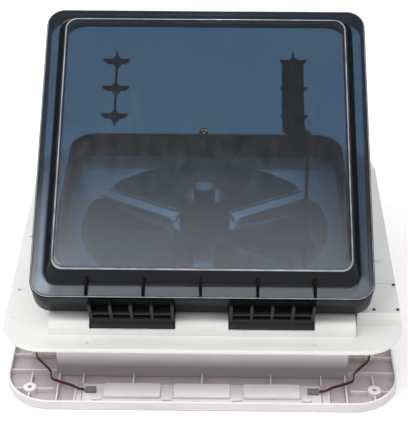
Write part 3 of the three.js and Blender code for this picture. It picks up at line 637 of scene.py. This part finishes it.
def place_piece(piece, material, *replaced, slot=None, body=None):
    """Gives a piece its material and body, and hides the CAD nodes that it stands for; the slot argument is not
    used.
    """
    piece.data.materials.clear()
    piece.data.materials.append(material)
    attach(piece, body or body_of[replaced[0]])
    if replaced:
        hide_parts(*replaced)


def refine(node, material, edge):
    """Replaces a CAD node with a copy whose flat faces are merged and whose corners are rounded."""
    bm = bmesh.new()
    bm.from_mesh(nodes[node].data)
    bmesh.ops.remove_doubles(bm, verts=bm.verts, dist=2 * WELD)
    bmesh.ops.dissolve_limit(
        bm, angle_limit=FLAT_ANGLE, verts=bm.verts, edges=bm.edges, use_dissolve_boundaries=False
    )
    edges = [e for e in bm.edges if len(e.link_faces) == 2 and e.calc_face_angle(0) > CORNER_ANGLE]
    bmesh.ops.bevel(bm, geom=edges, offset=edge * MM, clamp_overlap=True, **BEVEL)
    place_piece(from_bmesh(node + "_fine", bm, 40.0), material, node)


# ---- Lid --------------------------------------------------------------------------------------
LID_W, LID_D, LID_Y = 392.0, 383.0, 3.5
PANEL_TOP, LID_BOTTOM, SKIRT_RISE = 176.5, 110.6, 15.0
PLUG_R, PLUG_BACK = 5.5, 200.0
GUSSET_T, GUSSETS_X = 3.5, (-130.5, -66, -1.5, 63, 127.5)
SEAL_CORNER = 147.0  # half the straight run of the seal and of the rib that presses on it
LID_FRONT = LID_Y - LID_D / 2
LID_PROFILE = [  # inset from the lid's edge, height and corner radius, up the outside
    (0.9, 110.6, 21.1), (0.3, 110.9, 21.7), (0.0, 111.6, 22.0), (0.0, 151.8, 22.0),
    (0.25, 153.1, 21.8), (0.95, 154.2, 21.2), (2.0, 154.8, 20.3), (3.4, 155.0, 19.2),
    (13.2, 155.0, 17.4), (15.0, 155.4, 16.8), (16.5, 156.6, 16.2), (17.5, 158.4, 16.0),
    (24.4, 172.2, 15.2), (25.5, 174.2, 15.0), (26.9, 175.6, 14.6), (28.6, 176.3, 14.0),
    (30.8, 176.5, 13.2),
]
LID_INSIDE = [  # down the inside, from under the panel
    (32.0, 173.5, 12.4), (29.6, 173.2, 13.2), (28.2, 171.8, 13.8), (20.6, 155.8, 15.0),
    (19.4, 153.6, 15.6), (17.2, 152.2, 16.2), (15.0, 152.0, 17.0), (5.4, 152.0, 17.6),
    (3.9, 151.4, 18.4), (3.0, 149.8, 19.0), (3.0, 111.4, 19.0), (2.4, 110.6, 19.6),
]


def skirt_bottom(y):
    """The skirt's lower edge climbs towards the free end."""
    return LID_BOTTOM + SKIRT_RISE * (y - LID_FRONT + 1) / (LID_D + 2)


def lid_ring(inset, z, r):
    ring = outline(LID_W - 2 * inset, LID_D - 2 * inset, r, 0, LID_Y, 12)
    if z < LID_BOTTOM + 2:
        return [(x, y, skirt_bottom(y) + z - LID_BOTTOM) for x, y in ring]
    return flat(ring, z)


def lid_dome():
    rings = [lid_ring(*row) for row in reversed(LID_PROFILE)]
    rings += [lid_ring(*row) for row in reversed(LID_INSIDE)]
    return loft("lid_dome", rings, place=OPEN, sharp=50.0)


def seal_rib():
    """The rib under the rim that the shut lid presses on the seal."""
    section = (  # half width and height
        (179.0, 151.9), (179.0, 143.6), (178.5, 143.1),
        (177.0, 143.1), (176.5, 143.6), (176.5, 151.9),
    )
    rings = [flat(outline(2 * h, 2 * h, h - SEAL_CORNER, steps=12), z) for h, z in section]
    return loft("lid_seal_rib", rings, closed=True, place=OPEN)


def gusset(x):
    """A thin plate that braces the panel's front wall against the rim."""
    side = (  # distance behind the lid's front and above the rim face
        (1.5, 0.05), (14.8, 0.05), (17.2, 2.6), (20.9, 10.9), (19.6, 11), (2.3, 2.9), (1.5, 2.2),
    )
    points = [(LID_FRONT + back, LID_FACE + up) for back, up in side]
    plate = along_x("gusset", points, x - GUSSET_T / 2, x + GUSSET_T / 2, OPEN)
    bm = bmesh.new()
    bm.from_mesh(plate.data)
    ends = [e for e in bm.edges if e.calc_face_angle(0) > math.radians(60)]
    bmesh.ops.bevel(bm, geom=ends, offset=0.35 * MM, **BEVEL)
    bm.to_mesh(plate.data)
    bm.free()
    return plate


def lid_plug():
    """A round plug with a raised rim and a dished middle."""
    profile = [
        (PLUG_R, 0), (PLUG_R, 0.6), (5.2, 0.9), (4.5, 0.9), (4.2, 0.6), (3.8, 0.3), (1.6, 0.2),
        (0.8, 0.5), (0.2, 0.6),
    ]
    seat = PANEL_TOP + GAP
    rings = [flat(circle(r, 0, LID_FRONT + PLUG_BACK), seat + z) for r, z in profile]
    return loft("lid_plug_fine", rings, place=OPEN, sharp=50.0)


place_piece(lid_dome(), SMOKE, "lid_shell")
place_piece(lid_plug(), PLUG, "lid_plug")
place_piece(seal_rib(), SMOKE_DARK, slot="smoked_rib", body="lid")
gussets = join("lid_gussets", [gusset(x) for x in GUSSETS_X])
place_piece(gussets, GUSSET, slot="smoked_rib", body="lid")


# ---- Roof flange ------------------------------------------------------------------------------
FLANGE_W, FLANGE_D, FLANGE_R, FLANGE_TOP = 465.0, 469.0, 50.0, 90.0
FLANGE_BOTTOM = 85.0
CURB, CURB_R, CURB_WALL, CURB_TOP = 362.0, 34.0, 3.5, 132.0
HOUSING_TOP, HOUSING_FRONT, HOUSING_LIP, HOUSING_HALF = 108.3, -207.7, 98.2, 176.7
BLOCK_X, BLOCK_HALF, BARREL_R = 80.0, 48.5, 12.0
PIN_BORE_R, PIN_HALF = 2.8, 59.3
DRIVE_X, DRIVE_Y = (180, 230), (-184, 150)
DRIVE_ROOM = ((184, 227), (-181, 147), (88, 104.4))
COVER_SEAT = ((192, 232), (-182, -124), (106.4, 120))
COVER_HATCH = ((199, 222), (-174.5, -131.5), (100, 120))
SENSOR_X, SENSOR_Y = 214, -72
SHAFT_Y, SHAFT_Z = -82.0, 97.0
SCREW_HOLES = (
    (-130, -222), (130, -222), (-221, -118), (-221, 0), (-221, 118), (-130, 222), (130, 222),
)
DIMPLES = ((-222, -176), (-222, 176))
COVER_SCREWS = ((199.5, -178), (227, -178), (199.5, -128), (227, -128))


def housing_profile():
    """The hinge housing's side: an upright riser, a rounded top front edge and a flat top."""
    foot, back = FLANGE_TOP - 2, 1 - CURB / 2
    points = [(HOUSING_FRONT, foot), (back, foot), (back, HOUSING_TOP)]
    start, knee = (-198.5, HOUSING_TOP), (-206.0, HOUSING_TOP - 0.6)
    end = (HOUSING_FRONT, HOUSING_LIP)
    for i in range(11):
        t = i / 10
        points.append(tuple(
            (1 - t) ** 2 * a + 2 * t * (1 - t) * b + t * t * c for a, b, c in zip(start, knee, end)
        ))
    return points


def screw_recess(x, y):
    """A hole through the flange with a countersunk mouth."""
    profile = [(2.5, FLANGE_BOTTOM - 1), (2.5, FLANGE_TOP - 0.5), (3.3, FLANGE_TOP + 0.3)]
    return turned("hole", profile, 24, x, y)


def roof_flange():
    inside = CURB - 2 * CURB_WALL
    plate = slab(
        "roof_flange_fine", FLANGE_W, FLANGE_D, FLANGE_R, FLANGE_BOTTOM, FLANGE_TOP,
        top=1.6, bottom=0.8, steps=16,
    )
    root = FLANGE_BOTTOM + 1
    lip = slab("lip", CURB + 16, CURB + 16, CURB_R + 7, FLANGE_TOP - 1, FLANGE_TOP + 1.2, 1.0)
    curb = slab("curb", CURB, CURB, CURB_R, root, CURB_TOP, 0.8)
    housing = along_x("housing", housing_profile(), -HOUSING_HALF, HOUSING_HALF)
    drive = block("drive", DRIVE_X, DRIVE_Y, (root, HOUSING_TOP + 0.1), 1.0)
    combine(plate, [lip, curb, housing, drive], "UNION")
    tools = [slab("well", inside, inside, CURB_R - CURB_WALL, 80, 145)]
    for x in (-BLOCK_X, BLOCK_X):
        half = BLOCK_HALF + 1.2
        tools.append(rod_x("barrel", BARREL_R + 0.7, HINGE_Y, HINGE_Z, x - half, x + half, 64))
        tools.append(block("notch", (x - half, x + half), (-220, -181.4), (HOUSING_LIP, 125)))
        tools.append(rod_x("bore", PIN_BORE_R, HINGE_Y, HINGE_Z, x - PIN_HALF, x + PIN_HALF))
    tools += [block("hollow", *room) for room in (DRIVE_ROOM, COVER_SEAT, COVER_HATCH)]
    tools += [cylinder("pilot", 1.5, x, y, 100, 112, steps=16) for x, y in COVER_SCREWS]
    tools.append(cylinder("stem", 2.4, SENSOR_X, SENSOR_Y, 100, 112, steps=16))
    tools.append(rod_x("shaft_way", 3.5, SHAFT_Y, SHAFT_Z, 170, 190))
    tools += [screw_recess(x, y) for x, y in SCREW_HOLES]
    tools += [cylinder("dimple", 2.2, x, y, FLANGE_TOP - 0.7, 95, steps=20) for x, y in DIMPLES]
    return combine(plate, tools, "DIFFERENCE", 28.0)


place_piece(roof_flange(), WHITE, "roof_flange")


# ---- Throat, deck and seal --------------------------------------------------------------------
THROAT_SIZE, THROAT_R, THROAT_WALL, NECK_R, THROAT_BOTTOM = 350.0, 5.0, 3.0, 28.0, 4.0
SHOULDER = FLANGE_BOTTOM - GAP
DECK_TOP, DECK_T = 109.5, 3.0
THROAT_TOP = DECK_TOP - DECK_T - GAP
DECK_HOLE_R, SPOKE_W, HUB_R, RING_R, SPOKE_RIB_T = 156.5, 25.0, 42.0, 157.5, 1.6
SPOKES = tuple(math.radians(a) for a in (30, 150, 270))
POST_R, POSTS = 8.0, ((-160, -160), (160, -160), (160, 160), (-160, 160))


def throat_tube():
    """A square wall below the flange, and above it a rounder neck with four screw posts."""
    size, inside = THROAT_SIZE, THROAT_SIZE - 2 * THROAT_WALL
    shelf = SHOULDER - THROAT_WALL
    wall = slab("throat_wall", size, size, THROAT_R, THROAT_BOTTOM, SHOULDER, 0.6, 0.6)
    combine(wall, [slab("room", inside, inside, THROAT_R - THROAT_WALL, 0, shelf)], "DIFFERENCE")
    combine(wall, [slab("neck", size, size, NECK_R, SHOULDER - 2, THROAT_TOP, steps=12)], "UNION")
    inner = slab("inner", inside, inside, NECK_R - THROAT_WALL, shelf - 1, 112, steps=12)
    combine(wall, [inner], "DIFFERENCE")
    combine(wall, [cylinder("post", POST_R, x, y, shelf, THROAT_TOP) for x, y in POSTS], "UNION")
    tools = [cylinder("pilot", 1.6, x, y, 90, 110, steps=16) for x, y in POSTS]
    tools.append(rod_x("shaft_way", 3.5, SHAFT_Y, SHAFT_Z, 165, 180))
    return combine(wall, tools, "DIFFERENCE")


def deck_opening(spoke):
    """One opening between two parallel-sided spokes, with a round rim and rounded corners."""
    corner = 13.0
    reach = DECK_HOLE_R - corner
    lean = math.asin((SPOKE_W / 2 + corner) / reach)
    inner = math.asin(SPOKE_W / 2 / HUB_R)
    following = spoke + 2 * math.pi / 3
    points = []

    def arc(cx, cy, r, start, stop, steps):
        for i in range(steps + 1):
            t = start + (stop - start) * i / steps
            points.append((cx + r * math.cos(t), cy + r * math.sin(t)))

    first, last = spoke + lean, following - lean
    arc(reach * math.cos(first), reach * math.sin(first), corner, spoke - math.pi / 2, first, 10)
    arc(0, 0, DECK_HOLE_R, first + 0.01, last - 0.01, 24)
    arc(reach * math.cos(last), reach * math.sin(last), corner, last, following + math.pi / 2, 10)
    arc(0, 0, HUB_R, following - inner, spoke + inner, 12)
    return loft("opening", [flat(points, z) for z in (DECK_TOP - DECK_T - 2, DECK_TOP + 2)])


def fan_deck():
    size = CURB - 2 * CURB_WALL - 2 * GAP
    under = DECK_TOP - DECK_T
    corner = CURB_R - CURB_WALL - GAP
    deck = slab("fan_deck_fine", size, size, corner, under, DECK_TOP, 0.5, steps=12)
    ring = turned("ring", [(RING_R + 3, 60), (RING_R + 3, DECK_TOP - 1)], 96)
    combine(ring, [turned("bore", [(RING_R, 59), (RING_R, under)], 96)], "DIFFERENCE")
    hub = cylinder("hub", HUB_R - 1, 0, 0, under, 114, 0.8, 64)
    combine(hub, [cylinder("well", HUB_R - 4, 0, 0, DECK_TOP, 120, steps=64)], "DIFFERENCE")
    combine(deck, [ring, hub], "UNION")
    tools = [deck_opening(spoke) for spoke in SPOKES]
    tools.append(cylinder("shaft_hole", 8, 0, 0, 90, 130))
    tools += [cylinder("hole", 1.9, x, y, 90, 130, steps=16) for x, y in POSTS]
    tools.append(rod_x("shaft_way", 4, SHAFT_Y, SHAFT_Z, 110, 160))
    combine(deck, tools, "DIFFERENCE")
    ribs = []
    for spoke in SPOKES:
        for y in (-10.2, 10.2):
            rib = block("rib", (45, 152), span(y, SPOKE_RIB_T), (DECK_TOP - 0.5, 111.8), 0.3)
            rib.data.transform(Matrix.Rotation(spoke, 4, "Z"))
            ribs.append(rib)
    return combine(deck, ribs, "UNION")


def curb_seal():
    """A bulb seal that sits astride the curb's edge."""
    section = [  # half width and height, over the bulb, down the inner skirt and up inside it
        (181.6, 123.5), (183.4, 123.9), (184.0, 125.5), (184.0, 136.0), (183.2, 139.6),
        (181.0, 141.8), (178.6, 142.5), (176.2, 141.8), (174.9, 139.6), (174.5, 136.0),
        (174.5, 110.2), (174.9, 109.8), (176.8, 109.8), (177.2, 110.2), (177.2, 132.3),
        (181.3, 132.3), (181.3, 123.8),
    ]
    rings = [flat(outline(2 * h, 2 * h, h - SEAL_CORNER, steps=12), z) for h, z in section]
    return loft("curb_seal_fine", rings, closed=True)


def pan_screw(name, x, y, shank, z0, head, z1, z2):
    """A domed pan head from z1 to z2, with a cross recess, on a plain shank down to z0."""
    edge = (z2 - z1) * 0.7
    profile = [(shank, z0), (shank, z1), (head, z1), (head, z2 - edge)]
    profile += [(head - i * 1.6, z2 - edge + rise) for i, rise in rounded(edge, 4)[1:]]
    body = turned(name, profile, 24, x, y)
    arm, wide = head * 0.62, head * 0.16
    depth = (z2 - edge, z2 + 1)
    tools = [
        block("slot", (x - arm, x + arm), (y - wide, y + wide), depth),
        block("slot", (x - wide, x + wide), (y - arm, y + arm), depth),
    ]
    return combine(body, tools, "DIFFERENCE")


place_piece(throat_tube(), THROAT, "throat_tube")
place_piece(fan_deck(), WHITE, "fan_deck")
place_piece(curb_seal(), RUBBER, "curb_seal")
for number, (x, y) in enumerate(POSTS, 1):
    node = f"deck_screw_{number}"
    made = pan_screw(f"{node}_fine", x, y, 1.3, 94, 4, DECK_TOP + GAP, 112)
    place_piece(made, STEEL, node)
for number, (x, y) in enumerate(COVER_SCREWS, 1):
    node = f"drive_cover_screw_{number}"
    made = pan_screw(f"{node}_fine", x, y, 1.2, 101, 2.1, HOUSING_TOP + GAP, 109.8)
    place_piece(made, SCREW, node)


# ---- Fan and motor ----------------------------------------------------------------------------
BLADES, BLADE_ROOT, BLADE_SPAN, BLADE_Z = 6, 33.0, 107.5, 79.0
VENTS = 8


def motor():
    can = turned("fan_motor_fine", [
        (31.0, 109.8), (32.0, 110.6), (32.0, 118.0), (31.3, 118.6), (31.3, 120.4), (32.0, 121.0),
        (32.0, 144.5), (31.6, 148.0), (30.2, 151.0), (27.8, 153.4), (24.4, 154.8), (16.5, 155.0),
    ], 72, sharp=40.0)
    tools = [cylinder("bore", 4.4, 0, 0, 100, 148)]
    for i in range(VENTS):
        turn = Matrix.Rotation((i + 0.5) * 2 * math.pi / VENTS, 4, "Z")
        vent = block("vent", (30.9, 36), (-6, 6), (126, 129), 0.3)
        vent.data.transform(turn)
        tools.append(vent)
    return combine(can, tools, "DIFFERENCE")


def motor_cap():
    edge = [(13.5 - i, 164.5 + rise) for i, rise in rounded(3.0, 6)]
    profile = [(13.0, 155.3), (13.5, 155.8), *edge, (6.0, 167.9), (1.0, 168.0)]
    return turned("fan_motor_cap_fine", profile, 48)


def fan_blade(turn):
    """A twisted blade: its pitch falls and its chord grows from root to tip."""
    rings = []
    for i in range(9):
        t = i / 8
        r = BLADE_ROOT + t * BLADE_SPAN
        chord = 19 + 13.5 * t - 3.5 * max(0.0, t - 0.85) / 0.15
        pitch = math.radians(27 - 10 * t)
        thick = 1.5 - 0.5 * t
        section = []
        for k in range(16):
            a = 2 * math.pi * k / 16
            along, up = chord * math.cos(a), thick * math.sin(a)
            up -= 1.6 * (math.cos(a) ** 2 - 0.5)
            y = along * math.cos(pitch) - up * math.sin(pitch)
            z = along * math.sin(pitch) + up * math.cos(pitch)
            section.append((r, y, BLADE_Z + z))
        rings.append(section)
    return loft("blade", rings, place=Matrix.Rotation(turn, 4, "Z"), sharp=60.0)


def fan_rotor():
    profile = [(37.4, 66), (38, 66.6), (38, 88.5), (37, 91), (34.5, 92), (8, 92)]
    hub = turned("fan_rotor_fine", profile, 64)
    combine(hub, [cylinder("hollow", 35, 0, 0, 60, 89, steps=64)], "DIFFERENCE")
    blades = [fan_blade((i + 0.25) * 2 * math.pi / BLADES) for i in range(BLADES)]
    combine(hub, blades, "UNION", 40.0)
    combine(hub, [cylinder("hollow", 34.9, 0, 0, 60, 89, steps=64)], "DIFFERENCE")
    combine(hub, [cylinder("boss", 9, 0, 0, 66, 90)], "UNION", 40.0)
    return combine(hub, [cylinder("bore", 4.3, 0, 0, 60, 95)], "DIFFERENCE", 40.0)


place_piece(motor(), GREY_CAN, "fan_motor")
place_piece(motor_cap(), CAP, "fan_motor_cap")
place_piece(fan_rotor(), FAN, "fan_rotor")


# ---- Interior trim ----------------------------------------------------------------------------
TRIM_W, TRIM_D, TRIM_R, TRIM_WALL, TRIM_RIM = 466.0, 467.0, 55.0, 2.5, 12.0
COLLAR, COLLAR_TOP, TRIM_OPENING = 338.0, 40.0, 322.0
BOSS_X, BOSS_Y = 204.0, 205.0
RIBS_X, RIBS_Y = (BOSS_X, 171, 142, 82), (BOSS_Y, 170, 140, 70)
LIGHT_Y, LIGHT_DEPTH = -211.0, 31.0
PANEL_X, CONTROL_W, CONTROL_D = 204.0, 34.0, 104.0
SCREEN_HALF, WIRE_PITCH, WIRE_R = 152.6, 1.6, 0.14
RIB_T, RIB_TOP, RIB_EDGE = 1.6, 9.0, 0.25
SIDES = (-1, 1)
CORNER_SIGNS = ((-1, -1), (1, -1), (1, 1), (-1, 1))


def trim_ribs():
    w, d, inner = TRIM_W / 2 - 1, TRIM_D / 2 - 1, THROAT_SIZE / 2 + 1
    heights = (TRIM_WALL - 0.2, RIB_TOP)
    places = []
    for reach in ((-w, -inner), (inner, w)):
        places += [(reach, span(sign * y, RIB_T)) for y in RIBS_Y for sign in SIDES]
    for reach in ((-d, -inner), (inner, d)):
        places.append((span(0, RIB_T), reach))
        places += [(span(sign * x, RIB_T), reach) for x in RIBS_X for sign in SIDES]
    ribs = [block("rib", across, along, heights, RIB_EDGE) for across, along in places]
    whole = combine(ribs[0], ribs[1:], "UNION")
    combine(whole, [slab("edge", 2 * w, 2 * d, TRIM_R - 1, 0, 20, steps=16)], "INTERSECT")
    rooms = [
        block("light_room", (-153, 153), span(LIGHT_Y, LIGHT_DEPTH + 1.2), (1, 30)),
        block("panel_room", span(PANEL_X, CONTROL_W + 8), span(0, CONTROL_D + 8), (1, 30)),
    ]
    return combine(whole, rooms, "DIFFERENCE")


def trim_frame():
    frame_body = slab("trim_frame_fine", TRIM_W, TRIM_D, TRIM_R, 0, TRIM_RIM, 0.7, 1.8, steps=18)
    inset = 2 * TRIM_WALL
    room = slab("room", TRIM_W - inset, TRIM_D - inset, TRIM_R - TRIM_WALL, TRIM_WALL, 20, steps=18)
    combine(frame_body, [room], "DIFFERENCE")
    collar = slab("collar", COLLAR, COLLAR, 22, 0.5, COLLAR_TOP, 0.6, steps=12)
    solids = [collar, trim_ribs()]
    for sx, sy in CORNER_SIGNS:
        solids.append(cylinder("boss", 8, sx * BOSS_X, sy * BOSS_Y, 1, 11, 0.6))
    combine(frame_body, solids, "UNION")
    tools = [
        slab("sleeve", COLLAR - inset, COLLAR - inset, 19.5, TRIM_WALL, COLLAR_TOP + 2, steps=12),
        slab("opening", TRIM_OPENING, TRIM_OPENING, 14, -2, 10, steps=12),
        block("light_way", (-135, 135), span(LIGHT_Y, 20), (-2, 20)),
        block("panel_way", span(PANEL_X, CONTROL_W), span(0, CONTROL_D), (-2, 20)),
    ]
    for sx, sy in CORNER_SIGNS:
        tools.append(cylinder("hole", 2.6, sx * BOSS_X, sy * BOSS_Y, -2, 14))
        tools.append(block("slot", span(sx * 198, 3), span(sy * 220, 9), (-2, TRIM_WALL + 1)))
    return combine(frame_body, tools, "DIFFERENCE")


def insect_screen():
    """Round wires both ways, the outermost ones cut short at the frame's corners."""
    bm = bmesh.new()
    half = SCREEN_HALF
    count = int(half / WIRE_PITCH)
    for index in range(-count, count + 1):
        at = index * WIRE_PITCH
        reach = half if abs(at) < half - 9 else half - 3
        for axis, z in (("X", 5.2), ("Y", 5.46)):
            turn = Matrix.Rotation(math.pi / 2, 4, "Y" if axis == "X" else "X")
            middle = (0, at, z) if axis == "X" else (at, 0, z)
            bmesh.ops.create_cone(
                bm, cap_ends=True, segments=6, radius1=WIRE_R * MM, radius2=WIRE_R * MM,
                depth=2 * reach * MM, matrix=Matrix.Translation(Vector(middle) * MM) @ turn,
            )
    return from_bmesh("insect_screen_fine", bm)


place_piece(trim_frame(), TRIM, "trim_frame")
place_piece(insect_screen(), MESH, "insect_screen")


# ---- Light bar leads --------------------------------------------------------------------------
LEAD_R = 0.88
LEAD_ROUTE = (
    (203, -146.4, 15), (200, -155, 14.6), (190, -167, 13.6), (182, -178, 12.6), (180, -189.5, 12.2),
    (170, -196.5, 12.4), (155, -203.5, 12.8), (146, -208.5, 12), (138.4, LIGHT_Y + 1.5, 11.2),
)


def lead(name, sign, lift):
    """A round lead on a smooth line through the route's points."""
    route = [Vector((sign * x, y, z + lift)) for x, y, z in LEAD_ROUTE]
    ends = [2 * route[0] - route[1], *route, 2 * route[-1] - route[-2]]
    line = []
    for a, b, c, d in zip(ends, ends[1:], ends[2:], ends[3:]):
        for step in range(5):
            t = step / 5
            line.append(0.5 * (2 * b + (c - a) * t + (2 * a - 5 * b + 4 * c - d) * t ** 2
                               + (3 * b - a - 3 * c + d) * t ** 3))
    line.append(route[-1])
    rings = []
    for i, middle in enumerate(line):
        along = (line[min(i + 1, len(line) - 1)] - line[max(i - 1, 0)]).normalized()
        side = along.cross(Vector((0, 0, 1))).normalized()
        up = side.cross(along)
        turns = (2 * math.pi * k / 14 for k in range(14))
        rings.append([
            tuple(middle + LEAD_R * (side * math.cos(t) + up * math.sin(t))) for t in turns
        ])
    return loft(name, rings)


for side, sign in (("left", -1), ("right", 1)):
    place_piece(lead(f"lead_red_{side}_fine", sign, 1.1), RED, f"lead_red_{side}")
    place_piece(lead(f"lead_black_{side}_fine", sign, -1.1), LEAD_BLACK, f"lead_black_{side}")


# ---- Pieces whose CAD shape only needs its edges rounded ----------------------------------------
for side in ("left", "right"):
    refine(f"hinge_block_{side}", HINGE_BLACK, 0.55)
    refine(f"lid_rib_{side}", SMOKE_DARK, 0.35)
    refine(f"hinge_pin_{side}", STEEL, 0.4)
    refine(f"light_connector_{side}", CONNECTOR, 0.6)
    refine(f"lead_plug_{side}", LENS, 0.7)
    refine(f"light_bracket_{side}", LIGHT_BAR, 0.4)
for node, material, edge in (
    ("lift_rail", BLACK, 0.5),
    ("lift_shoe", BLACK, 0.4),
    ("lift_arm", BLACK, 0.5),
    ("lift_rivet", STEEL, 0.4),
    ("lift_shaft", STEEL, 0.4),
    ("lift_gear", BRASS, 0.08),
    ("lift_pinion", STEEL, 0.08),
    ("lift_motor", STEEL, 0.5),
    ("fan_shaft", STEEL, 0.4),
    ("drive_cover", WHITE, 0.5),
    ("rain_sensor_cap", WHITE, 0.35),
    ("control_board", BOARD, 0.15),
    ("button_board", BOARD, 0.15),
    ("led_strip", BOARD, 0.15),
    ("light_housing", LIGHT_BAR, 0.5),
    ("light_cover_1", LIGHT_BAR, 0.7),
    ("light_cover_2", LIGHT_BAR, 0.7),
    ("light_cover_3", LIGHT_BAR, 0.7),
    ("light_lens", LENS, 0.5),
    ("screen_frame", TRIM, 0.5),
    ("control_panel", TRIM, 0.5),
    ("button_lid", BLACK, 0.8),
    ("button_fan", BLACK, 0.8),
    ("button_light", BLACK, 0.8),
):
    refine(node, material, edge)


# ---- Floor ------------------------------------------------------------------------------------
FLOOR_SIZE, FLOOR_R, FLOOR_Z = 24000, 2000, (-21, -1)


def floor_material():
    shader = Shader("studio_floor")
    cloud = shader.noise(3.0, 3.0)
    color = shader.tones(cloud, (0.3, (0.93, 0.93, 0.93, 1)), (0.7, (0.96, 0.96, 0.96, 1)))
    fine = shader.bump(shader.noise(300.0, 2.0), 0.04, 0.0005)
    return shader.finish(
        color, shader.spread(cloud, 0.75, 0.85), fine, specular_ior_level=0.1,
        emission_color=(1, 1, 1, 1), emission_strength=0.16,
    )


floor = loft("floor", [flat(outline(FLOOR_SIZE, FLOOR_SIZE, FLOOR_R), z) for z in FLOOR_Z])
floor.data.materials.append(floor_material())
